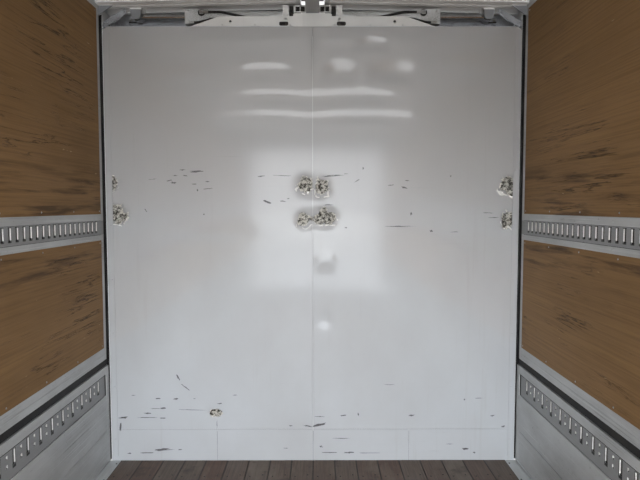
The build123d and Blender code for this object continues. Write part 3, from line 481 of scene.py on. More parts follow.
def make_floor_wood():
    wood = Finish("floor_wood")
    planks = wood.maths("DIVIDE", wood.maths("ADD", wood.axis("X"), PLANKS_SIDE), PLANK_PITCH)
    number = {"W": wood.maths("FLOOR", planks)}
    tone = wood.add("ShaderNodeTexWhiteNoise", number, noise_dimensions="1D").outputs[0]
    wood.base(tone, (0.112, 0.066, 0.046), (0.125, 0.100, 0.080))
    from_middle = wood.maths("ABSOLUTE", wood.maths("SUBTRACT", wood.maths("FRACT", planks), 0.5))
    shift = wood.add("ShaderNodeCombineXYZ", {"Y": wood.times(tone, GRAIN_SHIFT)}).outputs[0]
    moved = wood.add("ShaderNodeVectorMath", {0: wood.place, 1: shift}, operation="ADD")
    wood.place = moved.outputs[0]
    grain = wood.clouds((130, 3.2, 130), detail=7, roughness=0.7, warp=0.3)
    wood.stain(grain, 0.42, 0.66, 0.7, (0.05, 0.032, 0.026))
    worn = wood.clouds((7, 2.6, 7), detail=6)
    wood.stain(worn, 0.5, 0.68, 0.6, (0.22, 0.19, 0.165))
    wood.stain(wood.clouds((5, 6, 5), detail=5), 0.56, 0.7, 0.8, (0.03, 0.024, 0.02))
    wood.stain(from_middle, 0.455, 0.49, 0.85, (0.012, 0.009, 0.008))
    return wood.done(wood.ramp(worn, 0.35, 0.7, 0.5, 0.78), wood.bump(grain, 0.0009))


finishes["hardwood_floor"] = make_floor_wood()
print("floor wood ready")

# %% [markdown]
# Rubber is nearly black, matt, and greyed by dust. The hoses have the same rubber under a braided
# cover, whose weave is fine enough to be left to relief. The marker lamps have an amber lens.

# %% Rubber and lenses
def make_rubber(name, weave):
    rubber = Finish(name, Specular_IOR_Level=0.35)
    dust = rubber.clouds((9, 5, 9), detail=6)
    rubber.base(rubber.ramp(dust, 0.42, 0.72, 0.0, 0.8), (0.012, 0.012, 0.013), (0.06, 0.058, 0.055))
    relief = rubber.bump(rubber.clouds(weave, detail=2), 0.0003)
    return rubber.done(rubber.ramp(dust, 0.3, 0.7, 0.5, 0.8), relief)


def make_lens():
    lens = Finish("amber_lens", Coat_Weight=0.8, Coat_Roughness=0.05, Subsurface_Weight=0.2)
    haze = lens.clouds(40, detail=4)
    lens.base(lens.ramp(haze, 0.4, 0.7), (0.82, 0.26, 0.02), (0.62, 0.19, 0.02))
    relief = lens.bump(lens.clouds(300, detail=1), 0.0001)
    return lens.done(lens.ramp(haze, 0.3, 0.7, 0.15, 0.35), relief)


finishes["seal_rubber"] = make_rubber("seal_rubber_finish", 260)
finishes["hose_rubber"] = make_rubber("hose_braid", 900)
finishes["lamp_amber"] = make_lens()
print("finishes", sorted(finishes))

# %% [markdown]
# Every piece of the body's own model takes the finish that its slot in the record names. Its mesh
# stays as it came.

# %% Dress the body
for subpart in frame["record"]["subparts"]:
    piece = nodes[subpart["node"]]
    piece.data.materials.clear()
    piece.data.materials.append(finishes[subpart["material_slot"]])

# %% [markdown]
# New pieces are bmesh shapes. Three small shapes are needed again and again: a block with
# softened edges, a domed rivet and a hexagon bolt with its washer. Each function adds its shape to
# an open bmesh, so that hundreds of rivets become one piece. A span is two places along an axis, in
# any order.

# %% Helpers for new pieces
def turned(centre, direction, spin=0.0):
    """A matrix that puts +Z along a direction, at a centre."""
    turn = Vector(direction).to_track_quat("Z", "Y").to_matrix().to_4x4()
    return Matrix.Translation(centre) @ turn @ Matrix.Rotation(spin, 4, "Z")


def around(middle, half):
    """The span that reaches half its width to both sides of a place."""
    return middle - half, middle + half


def above_floor(*heights):
    """Heights above the floor as places along Z."""
    return [FLOOR + height for height in heights]


def add_block(shape, x, y, z, soften=0.0, segments=2):
    """A block with a span along each axis, its edges softened."""
    spans = (x, y, z)
    middle = [sum(span) / 2 for span in spans]
    size = [abs(span[1] - span[0]) for span in spans]
    matrix = Matrix.Translation(middle) @ Matrix.Diagonal((*size, 1.0))
    made = bmesh.ops.create_cube(shape, size=1.0, matrix=matrix)["verts"]
    if soften:
        edges = list({edge for vert in made for edge in vert.link_edges})
        bmesh.ops.bevel(
            shape,
            geom=edges,
            offset=soften,
            offset_type="OFFSET",
            affect="EDGES",
            segments=segments,
            profile=0.5,
            material=-1,
        )


def add_cone(shape, centre, direction, low_radius, high_radius, height, sides, spin=0.0):
    """A round or many-sided peg that stands on a centre, along a direction."""
    axis = Vector(direction).normalized()
    bmesh.ops.create_cone(
        shape,
        cap_ends=True,
        segments=sides,
        radius1=low_radius,
        radius2=high_radius,
        depth=height,
        matrix=turned(Vector(centre) + axis * height / 2, axis, spin),
    )


def add_rivet(shape, centre, direction, radius=0.005, sides=8):
    """A low domed head."""
    add_cone(shape, centre, direction, radius, radius * 0.6, radius * 0.45, sides)


def add_bolt(shape, centre, direction, radius, spin=0.3):
    """A washer, a hexagon head and the round end above it."""
    axis = Vector(direction).normalized()
    washer = radius * 0.25
    head = radius * 0.9
    add_cone(shape, centre, axis, radius * 1.35, radius * 1.3, washer, 16)
    add_cone(shape, Vector(centre) + axis * washer, axis, radius, radius * 0.96, head, 6, spin)
    top = Vector(centre) + axis * (washer + head)
    add_cone(shape, top, axis, radius * 0.5, radius * 0.42, radius * 0.4, 10)


def finished(shape, name, body, slot, finish=None):
    """Turns a bmesh into a piece that rides on a body and has a slot's finish, or its own."""
    mesh = bpy.data.meshes.new(name)
    shape.to_mesh(mesh)
    shape.free()
    piece = bpy.data.objects.new(name, mesh)
    bpy.context.scene.collection.objects.link(piece)
    mesh.materials.append(finishes[finish or slot])
    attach(piece, body)
    print(name, "triangles", sum(len(face.vertices) - 2 for face in mesh.polygons))
    return piece


# %% [markdown]
# The front wall is lined with thin steel sheets: two tall ones that meet in the middle, and a row
# of low kick sheets above the floor. Thin sheet is never flat. It buckles in long soft waves, and
# pallets have driven deep dents into it. Both show by what they do to reflections, so they have to
# be real shape. Each sheet starts as a grid, gets finer where a dent is near, and then its points
# are pushed. A dent falls off from its middle, crumples inside and bulges at its lower rim.

# %% Dents and waves of the lining
COLUMN_STEP = 0.022
ROW_STEP = 0.0095
SHEET_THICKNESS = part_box("front_lining")[1].y - FRONT_FACE
SHEET_GAP = 0.001
KICK_HEIGHT = 0.173
KICK_SEAM = 0.520
CUT_CORNER = 0.009
SHARP = radians(40)
DENT_REACH = 3.6
CRUMPLE = 0.0065
RIM_BULGE = 0.0045
LEAST_PUSH = -0.006
FALL = 2.72

DENTS = (
    # x, height above the floor, radius across, radius upwards, depth
    (-0.041, 1.497, 0.040, 0.044, 0.016),
    (0.048, 1.481, 0.036, 0.048, 0.015),
    (-0.047, 1.307, 0.038, 0.036, 0.014),
    (0.065, 1.323, 0.052, 0.042, 0.018),
    (-1.061, 1.501, 0.030, 0.036, 0.010),
    (-1.038, 1.338, 0.048, 0.050, 0.012),
    (1.038, 1.487, 0.050, 0.048, 0.013),
    (1.044, 1.312, 0.040, 0.046, 0.016),
    (-0.522, 0.262, 0.030, 0.026, 0.008),
)

BUCKLES = (
    # x, height above the floor, half width, half height, depth
    (0.32, 2.225, 0.09, 0.034, 0.0085),
    (0.15, 2.080, 0.090, 0.054, 0.0138),
    (0.42, 2.080, 0.12, 0.054, 0.0130),
    (0.22, 1.955, 0.23, 0.048, 0.0108),
    (0.25, 1.850, 0.27, 0.036, 0.0085),
    (-0.24, 2.080, 0.17, 0.048, 0.0082),
    (-0.22, 1.955, 0.20, 0.044, 0.0066),
    (-0.27, 1.850, 0.25, 0.036, 0.0060),
    (-0.66, 2.060, 0.20, 0.060, 0.0050),
    (0.78, 2.110, 0.22, 0.060, 0.0050),
    (-0.62, 1.250, 0.30, 0.05, 0.0025),
    (0.55, 1.350, 0.35, 0.05, 0.0018),
    (0.07, 1.100, 0.05, 0.05, -0.0045),
    (0.06, 0.780, 0.04, 0.05, 0.0050),
    (-0.30, 0.900, 0.35, 0.30, 0.0020),
    (0.40, 0.700, 0.30, 0.35, -0.0020),
)


def rough(x, height, cycles, layer):
    """Smooth noise over the wall, about from -1 to 1. The layer picks another pattern."""
    return noise.noise(Vector((x * cycles, height * cycles, layer)))


def within(value):
    """A value held between nothing and one."""
    return max(0.0, min(1.0, value))


def dent_reach(x, height, dent):
    """How far a point lies from a dent's middle, as a share of its radius."""
    middle_x, middle_height, across, upwards, _ = dent
    return (((x - middle_x) / across) ** 2 + ((height - middle_height) / upwards) ** 2) ** 0.5


def rim_share(x, height, dent):
    """One on the raised lower rim of a dent, and less away from it."""
    reach = dent_reach(x, height, dent)
    below = within(0.35 + (dent[1] - height) / dent[3])
    ragged = 1.18 + 0.45 * rough(x, height, 38, 2.0)
    broken = within(0.75 + 3.0 * rough(x, height, 46, 9.0))
    deep = min(1.0, (dent[4] / 0.013) ** 2)
    return deep * below * broken * FALL ** -(((reach - ragged) / 0.13) ** 2)


def sheet_push(x, height):
    """How far the sheet is pushed forward at a point, and how bare it is there."""
    push = 0.0012 * noise.noise(Vector((x * 2.2, height * 1.7, 4.0)))
    bare = 0.0
    for middle_x, middle_height, across, upwards, depth in BUCKLES:
        sideways = (x - middle_x) / across
        rise = (height - middle_height) / upwards + 0.35 * sideways**2
        push += depth * FALL ** -(sideways**4 + rise**2)
    for dent in DENTS:
        reach = dent_reach(x, height, dent)
        if reach < DENT_REACH:
            push += dent[4] * FALL ** (-0.75 * reach**2)
            rim = 1.3 + 0.6 * rough(x, height, 24, 7.0)
            inside = within(1.6 * (rim - reach))
            push += CRUMPLE * inside * noise.fractal(Vector((x * 42, height * 42, 1.5)), 0.8, 2.1, 4)
            bare = max(bare, inside)
            push -= RIM_BULGE * rim_share(x, height, dent)
    return max(push, LEAST_PUSH), bare


# %% [markdown]
# The sheets are made of grids. The buckles lie level, so the rows are closer than the columns.
# Cutting only the edges near a dent keeps the wall light and still lets the dent crumple.

# %% Build the lining
def add_sheet(shape, left, right, low, high):
    """A flat grid between two sides and two heights above the floor."""
    matrix = Matrix.Translation(((left + right) / 2, FRONT_FACE, FLOOR + (low + high) / 2))
    matrix = matrix @ Matrix.Rotation(pi / 2, 4, "X")
    matrix = matrix @ Matrix.Diagonal((right - left, high - low, 1.0, 1.0))
    columns = max(2, round((right - left) / COLUMN_STEP))
    rows = max(2, round((high - low) / ROW_STEP))
    bmesh.ops.create_grid(shape, x_segments=columns, y_segments=rows, size=0.5, matrix=matrix)


def near_dent(edge, reach):
    """Whether an edge lies within a dent, widened by a factor."""
    middle = (edge.verts[0].co + edge.verts[1].co) / 2
    return any(dent_reach(middle.x, middle.z - FLOOR, dent) < reach for dent in DENTS)


sheets = bmesh.new()
half_gap = SHEET_GAP / 2
for hand in (-1, 1):
    tall = sorted((hand * half_gap, hand * LINING_SIDE))
    add_sheet(sheets, *tall, KICK_HEIGHT, LINING_TOP - FLOOR)
    for near, far in ((half_gap, KICK_SEAM - half_gap), (KICK_SEAM + half_gap, LINING_SIDE)):
        add_sheet(sheets, *sorted((hand * near, hand * far)), 0.0, KICK_HEIGHT - SHEET_GAP)
for reach in (2.2, 1.7):
    close = [edge for edge in sheets.edges if near_dent(edge, reach)]
    bmesh.ops.subdivide_edges(sheets, edges=close, cuts=1, use_grid_fill=True)
bmesh.ops.triangulate(sheets, faces=[face for face in sheets.faces if len(face.verts) > 4])
for vert in sheets.verts:
    if abs(vert.co.x) > LINING_SIDE - 1e-5 and vert.co.z > LINING_TOP - 1e-5:
        vert.co.x -= CUT_CORNER if vert.co.x > 0 else -CUT_CORNER
        vert.co.z -= CUT_CORNER
bmesh.ops.recalc_face_normals(sheets, faces=sheets.faces)
bmesh.ops.reverse_faces(sheets, faces=[face for face in sheets.faces if face.normal.y > 0])
bmesh.ops.solidify(sheets, geom=sheets.faces[:], thickness=SHEET_THICKNESS - 2 * PROUD)
lowest = min(vert.co.y for vert in sheets.verts)
bare_layer = sheets.verts.layers.float.new("bare")
rim_highlight_layer = sheets.verts.layers.float.new("rim")
for vert in sheets.verts:
    place = (vert.co.x, vert.co.z - FLOOR)
    push, vert[bare_layer] = sheet_push(*place)
    # the rim value carries the painted highlight on each dent's lower rim
    vert[rim_highlight_layer] = max(rim_share(*place, dent) for dent in DENTS)
    vert.co.y += push + PROUD + FRONT_FACE - lowest
for face in sheets.faces:
    face.smooth = True
lining = finished(sheets, "lining_sheets", "root", "white_lining")
lining.data.set_sharp_from_angle(angle=SHARP)
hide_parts("front_lining")

# %% [markdown]
# Scratches are thin slivers where paint is gone. Each is a flattened circle with a ragged edge that
# lies just in front of the sheet. They were noted as places in the picture, column and row, so a
# helper follows the camera's ray through such a place to the front wall.

# %% Scratches on the lining
IMAGE_MIDDLE = (320, 240)


def on_front_wall(column, row):
    """X and height above the floor where the ray through a place in the picture meets the wall."""
    reach = FRONT_FACE - CAMERA_PLACE[1]
    side = atan((column - IMAGE_MIDDLE[0]) / FOCAL_PIXELS) + radians(YAW)
    rise = atan((IMAGE_MIDDLE[1] - row) / FOCAL_PIXELS) - radians(PITCH)
    return CAMERA_PLACE[0] + reach * tan(side), CAMERA_PLACE[2] - FLOOR + reach * tan(rise)


SCRATCHES = (
    # column, row, length and thickness in millimetres, tilt in degrees
    (183, 169.9, 32, 5, 4), (197, 171.5, 84, 9, 2), (176, 175.6, 22, 4, 0), (186, 175.6, 26, 4, -5),
    (154, 179.1, 42, 3, 8), (170, 180.4, 30, 6, 5), (174, 182.8, 34, 9, -8), (208, 181.5, 26, 4, 3),
    (195, 184.0, 44, 3, 0), (208, 188.7, 54, 4, 4), (198, 190.0, 7, 12, 0), (261, 176.3, 54, 4, 5),
    (281, 175.5, 120, 3, -2), (267, 201.5, 44, 11, -12), (283, 201.1, 40, 4, -6), (288, 198.6, 20, 3, 6),
    (146, 210.2, 6, 16, 30), (204, 214.2, 9, 7, 0), (332, 175.8, 104, 7, 4), (346, 173.8, 24, 3, 0),
    (363, 168.4, 10, 9, 0), (357, 180.7, 34, 4, 30), (390, 185.3, 36, 4, 6), (404, 187.6, 32, 8, -6),
    (407, 180.7, 26, 3, 0), (450, 176.1, 9, 7, 0), (399, 226.3, 176, 5, 0), (411, 213.6, 11, 14, 0),
    (328, 204.8, 54, 5, 0), (488, 213.0, 70, 3, -2), (494, 217.7, 54, 4, 0), (431, 230.9, 16, 8, -20),
    (346, 227.7, 14, 6, 0), (176, 377.5, 40, 7, -58), (183, 387.0, 58, 4, -38), (155, 398.4, 34, 6, 0),
    (173, 398.7, 34, 8, 6), (192, 398.4, 20, 3, 0), (154, 408.3, 90, 3, 0), (160, 408.0, 34, 8, 2),
    (188, 409.6, 130, 3, -2), (144, 413.0, 40, 6, 0), (119, 417.4, 46, 8, 4), (143, 417.3, 112, 3, 0),
    (159, 417.8, 34, 4, 0), (218, 403.5, 24, 6, 6), (214.6, 424.0, 4, 54, 0), (159, 449.2, 96, 13, 2),
    (177, 449.2, 26, 5, 0), (141, 452.6, 90, 5, 0), (125, 453.0, 24, 6, 0), (285, 448.1, 28, 3, 0),
    (290, 425.8, 22, 5, 0), (307, 426.0, 50, 6, -12), (319, 425.0, 64, 12, 8), (320, 416.6, 54, 4, 0),
    (116, 426.0, 10, 44, 0), (343, 415.5, 34, 6, 0), (359, 414.4, 8, 14, 0), (413, 415.5, 34, 8, 8),
    (482, 398.3, 46, 3, 0), (467, 399.8, 10, 10, 0), (496, 415.9, 24, 6, 0), (507, 426.6, 22, 7, 0),
    (341, 438.4, 110, 3, 0), (331, 452.7, 90, 5, 0), (350, 452.6, 70, 7, 0), (371, 452.9, 110, 3, 0),
    (321, 446.5, 22, 8, -20), (453, 444.2, 44, 3, 0), (468, 449.1, 42, 11, 0), (478, 452.7, 16, 7, 0),
    (391, 384.7, 60, 2.5, 0), (233, 395.0, 30, 2.5, 0), (455, 232.0, 50, 2.5, 3), (130, 395.0, 28, 3, 0),
)
SCRATCH_SIDES = 14
BOLD = 1.3

marks = bmesh.new()
for index, (column, row, length, thickness, tilt) in enumerate(SCRATCHES):
    x, height = on_front_wall(column, row)
    ring = bmesh.ops.create_circle(marks, cap_ends=True, segments=SCRATCH_SIDES, radius=0.5)["verts"]
    lean = Matrix.Rotation(radians(tilt), 2)
    for vert in ring:
        ragged = 0.85 + 0.9 * noise.noise(Vector((vert.co.x * 5, vert.co.y * 5, index * 3.1)))
        sliver = Vector((vert.co.x * length, vert.co.y * thickness * BOLD)) / 1000
        along, rise = lean @ sliver * ragged
        push = sheet_push(x + along, height + rise)[0]
        vert.co = (x + along, FRONT_FACE + push, FLOOR + height + rise)
bmesh.ops.translate(marks, verts=marks.verts, vec=(0, -PROUD, 0))
finished(marks, "lining_scratches", "root", "white_lining", "bared_steel")

# %% [markdown]
# Beside each wing the front wall ends in a narrow corner strip: folded sheet, screwed to the
# pillar, with a cut-off foot where it meets the floor's edge strip. A black rubber lip outside it
# closes the joint when the wing comes down.

# %% Corner strips and lips
STRIP_NEAR = LINING_SIDE - 0.034
STRIP_FACE = FRONT_FACE - 0.0025
STRIP_FOOT = 0.022
SCREW_PITCH = 0.29
LIP_FACE = FRONT_FACE - 0.0035
LIP_OUTER = WALL + 0.008
LIP_FOLD = 0.0055
LIP_SHARE = 0.82

for side, hand in HANDS.items():
    strip = bmesh.new()
    depth = (STRIP_FACE, FRONT_FACE - PROUD / 2)
    heights = (FLOOR + PROUD, LINING_TOP - 0.03)
    add_block(strip, (hand * STRIP_NEAR, hand * LINING_SIDE), depth, heights, 0.0009)
    for vert in strip.verts:
        if vert.co.z < FLOOR + 0.003 and hand * vert.co.x < STRIP_NEAR + 0.003:
            vert.co.z += STRIP_FOOT
    for index in range(int((LINING_TOP - FLOOR) / SCREW_PITCH)):
        centre = (hand * (STRIP_NEAR + 0.012), STRIP_FACE, FLOOR + 0.12 + index * SCREW_PITCH)
        add_rivet(strip, centre, (0, -1, 0), 0.004)
    finished(strip, f"corner_strip_{side}", "root", "white_lining")
    lip = bmesh.new()
    low, high = sorted((hand * (LINING_SIDE + PROUD), hand * LIP_OUTER))
    width = (high - low - LIP_FOLD) * LIP_SHARE
    for start in (low, low + LIP_FOLD):
        heights = (FLOOR + 0.01, LINING_TOP + 0.06)
        add_block(lip, (start, start + width), (LIP_FACE, FRONT_FACE - PROUD), heights, 0.0014)
    finished(lip, f"corner_lip_{side}", "root", "seal_rubber")

# %% [markdown]
# The header over the front wall carries the lifting gear. Here come its small fasteners: the strap
# that holds each foot pin, the rims of the angle brackets with black pads inside them that paint
# the shade in the brackets' hollows, their black bolts and grease nipples, the valve blocks beside
# them, the bolted lugs of the braces, a rubber plug in each guard plate's slot and a row of black
# discs along the channel beam that paint the shade in its small holes. The tables hold the front
# right corner, and because both ends of the body have the same gear, one loop turns them to each
# corner.

# %% Header fasteners
CHANNEL_FACE = 3.217
BRACE_FACE = 3.211
CHEEK_FACE = 3.112
HEAD_FACE = 3.127
BRACKET_FACE = 3.103
STRAP_FACE = BRACKET_FACE - 0.0022
RIM = (BRACKET_FACE - 0.0045, BRACKET_FACE)
# the black pads that paint the shade inside the angle brackets
SHADE_PAD_FACE = BRACKET_FACE - 0.003
SHADE_PAD = (SHADE_PAD_FACE, BRACKET_FACE)
PORT = (0.582, 2.394)
HOLE_PITCH = 0.043
HOLE_COUNT = 16

HEADER_BLOCKS = (
    # piece, spans along x, along y and of heights above the floor, softened edge
    ("straps", (0.127, 0.153), (STRAP_FACE, BRACKET_FACE), (2.347, 2.3698), 0.0007),
    ("straps", (0.127, 0.153), (STRAP_FACE, CHEEK_FACE), (2.3676, 2.3698), 0.0006),
    ("straps", (0.0355, 0.0385), RIM, (2.3865, 2.423), 0.0006),
    ("straps", (0.0935, 0.0965), RIM, (2.3925, 2.423), 0.0006),
    ("straps", (0.0385, 0.0935), RIM, (2.3855, 2.3888), 0.0006),
    # painted shade: black pads in the hollow of each angle bracket
    ("fittings", (0.041, 0.063), SHADE_PAD, (2.3905, 2.4150), 0.001),
    ("fittings", (0.066, 0.088), SHADE_PAD, (2.3905, 2.4150), 0.001),
    ("fittings", (0.099, 0.121), (3.107, 3.126), (2.369, 2.420), 0.002),
    ("fittings", (0.103, 0.117), (3.1005, 3.107), (2.376, 2.388), 0.001),
    ("fittings", (0.944, 0.990), (3.2072, 3.2110), (2.3655, 2.3725), 0.001),
    ("fittings", (0.1265, 0.1735), (3.1042, 3.1056), (2.319, 2.339), 0.0006),
)
HEADER_BOLTS = (
    # piece, x, face that the bolt stands on, height above the floor, radius
    ("bolts", 0.140, STRAP_FACE, 2.354, 0.0065),
    ("fittings", 0.052, SHADE_PAD_FACE, 2.402, 0.008),
    ("fittings", 0.077, SHADE_PAD_FACE, 2.402, 0.008),
    ("bolts", 0.952, BRACE_FACE, 2.381, 0.007),
    ("bolts", 0.980, BRACE_FACE, 2.381, 0.007),
    ("bolts", 1.043, BRACE_FACE, 2.332, 0.007),
    ("bolts", 0.115, BRACKET_FACE, 2.3235, 0.0035),
    ("bolts", 0.300, BRACKET_FACE, 2.3235, 0.0035),
    ("bolts", 0.470, BRACKET_FACE, 2.3235, 0.0035),
)
HEADER_PEGS = [
    # piece, x, face, height above the floor, radius at the foot and the top, length, sides
    ("bolts", 0.060, BRACKET_FACE - 0.001, 2.419, 0.0060, 0.0035, 0.007, 12),
    ("fittings", PORT[0], HEAD_FACE, PORT[1], 0.0185, 0.0165, 0.004, 24),
]
# painted shade: thin black discs stand for the dark of the holes along the channel beam
for index in range(HOLE_COUNT):
    hole = ("fittings", 0.17 + index * HOLE_PITCH, CHANNEL_FACE, 2.3885, 0.0045, 0.0045, 0.0004, 12)
    HEADER_PEGS.append(hole)
HEADER_PIECES = {
    "bolts": ("zinc_steel", None),
    "fittings": ("chassis_steel", "black_fittings"),
    "straps": ("white_lining", None),
}

for place, end in ENDS.items():
    shapes = {piece: bmesh.new() for piece in HEADER_PIECES}
    inward = (0, -end, 0)
    for hand in HANDS.values():
        for piece, x, y, heights, soften in HEADER_BLOCKS:
            spans = ([hand * at for at in x], [end * at for at in y], above_floor(*heights))
            add_block(shapes[piece], *spans, soften)
        for piece, x, face, height, radius in HEADER_BOLTS:
            add_bolt(shapes[piece], (hand * x, end * face, FLOOR + height), inward, radius)
        for piece, x, face, height, *peg in HEADER_PEGS:
            add_cone(shapes[piece], (hand * x, end * face, FLOOR + height), inward, *peg)
    for piece, (slot, finish) in HEADER_PIECES.items():
        finished(shapes[piece], f"{place}_header_{piece}", "root", slot, finish)

# %% [markdown]
# Each lifting cylinder has its own small parts, and they tilt with the barrel: a crimped ferrule
# on both ends of its two hoses, a hexagon screw in the head's port, the gland ring round the rod
# and the screws of the head block.

# %% Cylinder fittings
HOSE_Y = 3.119
HOSE_ENDS = (
    # x, height above the floor, direction along x
    (0.573, 2.394, -1),
    (0.647, 2.340, -1),
    (0.224, 2.367, 1),
    (0.224, 2.347, 1),
)
NUT_LENGTH = 0.008
HEAD_SCREWS = ((0.560, 2.352), (0.650, 2.352), (0.650, 2.402))
GLAND = (0.668, 3.160, 2.380)

for place, end in ENDS.items():
    for side, hand in HANDS.items():
        fittings = bmesh.new()
        inward = (0, -end, 0)
        for x, height, way in HOSE_ENDS:
            along = (hand * way, 0, 0)
            centre = (hand * x, end * HOSE_Y, FLOOR + height)
            add_cone(fittings, centre, along, 0.0086, 0.0086, NUT_LENGTH, 6)
            centre = (hand * (x + way * NUT_LENGTH), end * HOSE_Y, FLOOR + height)
            add_cone(fittings, centre, along, 0.0078, 0.0072, 0.020, 16)
        add_bolt(fittings, (hand * PORT[0], end * CHEEK_FACE, FLOOR + PORT[1]), inward, 0.0065)
        for x, height in HEAD_SCREWS:
            centre = (hand * x, end * HEAD_FACE, FLOOR + height)
            add_cone(fittings, centre, inward, 0.006, 0.0055, 0.004, 12)
        centre = (hand * GLAND[0], end * GLAND[1], FLOOR + GLAND[2])
        add_cone(fittings, centre, (hand, 0, 0), 0.026, 0.024, 0.007, 24)
        body = f"cylinder_{place}_{side}_barrel"
        finished(fittings, f"cylinder_{place}_{side}_fittings", body, "zinc_steel")

# %% [markdown]
# A lashing rail's slots are pressed, so each has folded lips that stand behind its face. The lips
# are painted near-white as a highlight and show as bright slivers beside the slot, whose dark is
# painted shade. The wing's rail also has two raised flanges that overlap the plywood.

# %% Lashing rails
LIP_REACH = 0.0055
LIP_SHEET = 0.0016
WING_SLOTS = 120
WING_PITCH = 0.050
WING_SLOT = (0.020, 0.052, 1.274)
GATE_SLOTS = 29
GATE_PITCH = 0.100
GATE_SLOT = (0.018, 0.060, 0.447)
GATE_HOLES = ((0.014, 0.014, 0.430), (0.014, 0.014, 0.464))
GATE_FACE = WALL + 0.006
GATE_MIDDLE = sum(corner.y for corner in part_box("gate_front_right")) / 2
RAIL_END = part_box("wing_lashing_rail_right")[1].y - 0.001
FLANGES = ((1.2055, 1.232), (1.307, 1.3395))
FLANGE_PROUD = 0.0022
FLANGE_RIVETS = 30
FLANGE_PITCH = 0.205


def add_lips(shape, hand, face, middle, opening):
    """The two folded lips of an opening (width, height, level), behind a rail's face."""
    width, tall, level = opening
    x = (hand * (face + 0.0003), hand * (face + LIP_REACH))
    heights = above_floor(level - tall / 2 + tall * 0.13, level + tall / 2 - 0.0004)
    for way in (-1, 1):
        edge = middle + way * width / 2
        add_block(shape, x, (edge, edge - way * LIP_SHEET), heights)


def row(count, pitch):
    """Places in a row at a pitch, its middle at nothing."""
    return [(index - (count - 1) / 2) * pitch for index in range(count)]


for side, hand in HANDS.items():
    lips = bmesh.new()
    for middle in row(WING_SLOTS, WING_PITCH):
        add_lips(lips, hand, WALL, middle, WING_SLOT)
    finished(lips, f"wing_rail_lips_{side}", f"wing_{side}", "rail_aluminium", "lip_highlight")
    flanges = bmesh.new()
    for low, high in FLANGES:
        x = (hand * WALL, hand * (WALL - FLANGE_PROUD))
        add_block(flanges, x, (-RAIL_END, RAIL_END), above_floor(low, high), 0.0008)
        for y in row(FLANGE_RIVETS, FLANGE_PITCH):
            add_rivet(flanges, (x[1], y, FLOOR + (low + high) / 2), (-hand, 0, 0), 0.004)
    finished(flanges, f"wing_rail_flanges_{side}", f"wing_{side}", "rail_aluminium")
    for place, end in ENDS.items():
        lips = bmesh.new()
        for index, shift in enumerate(row(GATE_SLOTS, GATE_PITCH)):
            middle = end * GATE_MIDDLE + shift
            add_lips(lips, hand, GATE_FACE, middle, GATE_SLOT)
            if index < GATE_SLOTS - 1:
                for hole in GATE_HOLES:
                    add_lips(lips, hand, GATE_FACE, middle + GATE_PITCH / 2, hole)
        body = f"gate_{place}_{side}_body"
        finished(lips, f"gate_{place}_{side}_lips", body, "rail_aluminium", "lip_highlight")

# %% [markdown]
# Each gate ends in an upright cap that closes its hollow panel and its sunk rail. The cap is
# screwed on, and a narrow gap lies between it and the rail, filled by a black strip as painted
# shade.

# %% Gate ends
CAP_WIDTH = 0.036
CAP_FACE = WALL - 0.0012
GAP_WIDTH = 0.006
CAP_SCREWS = (0.06, 0.16, 0.26, 0.345, 0.43, 0.510)
GATE_LOW, GATE_HIGH = (corner.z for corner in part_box("gate_front_right"))
GATE_NEAR, GATE_FAR = (corner.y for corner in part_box("gate_front_right"))
RECESS = (FLOOR + 0.375, FLOOR + 0.490)

for side, hand in HANDS.items():
    for place, end in ENDS.items():
        caps = bmesh.new()
        gap_shades = bmesh.new()
        for start, way in ((end * GATE_NEAR, end), (end * GATE_FAR, -end)):
            y = (start + way * PROUD, start + way * CAP_WIDTH)
            add_block(caps, (hand * CAP_FACE, hand * (GATE_FACE + 0.0002)), y, RECESS, 0.0006)
            x = (hand * CAP_FACE, hand * (WALL - 0.0001))
            add_block(caps, x, y, (GATE_LOW + 0.002, RECESS[0]), 0.0005)
            add_block(caps, x, y, (RECESS[1], GATE_HIGH - 0.002), 0.0005)
            for height in CAP_SCREWS:
                centre = (hand * CAP_FACE, start + way * CAP_WIDTH / 2, FLOOR + height)
                add_rivet(caps, centre, (-hand, 0, 0), 0.0042)
            # painted shade: a black strip fills the gap between the cap and the rail
            x = (hand * (GATE_FACE - 0.003), hand * (GATE_FACE + 0.0003))
            y = (start + way * CAP_WIDTH, start + way * (CAP_WIDTH + GAP_WIDTH))
            add_block(gap_shades, x, y, RECESS)
        body = f"gate_{place}_{side}_body"
        finished(caps, f"gate_{place}_{side}_caps", body, "rail_aluminium")
        finished(gap_shades, f"gate_{place}_{side}_gap_shade", body, "seal_rubber")

# %% [markdown]
# Most of what is left comes in pairs, right and left. A helper makes the right-hand shape twice
# and mirrors the second. Mirroring turns a shape inside out, so its normals are worked out again.
# Where a shape differs between the front and the rear, its function is also told which end it is.
# A second helper sets rivets in a row.

# %% Helpers for pairs and rows
RIVET_PITCH = 0.12
ROW_END = 3.06
STRIP_RIVETS = 0.011


def finished_pair(make, name, body, slot, finish=None, **told):
    """A right-hand piece and its left-hand twin. Both names hold a gap for the side."""
    for side, hand in HANDS.items():
        shape = bmesh.new()
        make(shape, **told)
        if hand < 0:
            bmesh.ops.scale(shape, verts=shape.verts, vec=(-1, 1, 1))
            bmesh.ops.recalc_face_normals(shape, faces=shape.faces)
        finished(shape, name.format(side), body.format(side), slot, finish)


def rivet_row(shape, start, end, pitch, direction, radius=0.005):
    """Rivets at about a pitch along a line, with one at each end."""
    start = Vector(start)
    end = Vector(end)
    count = max(1, round((end - start).length / pitch))
    for index in range(count + 1):
        add_rivet(shape, start.lerp(end, index / count), direction, radius)


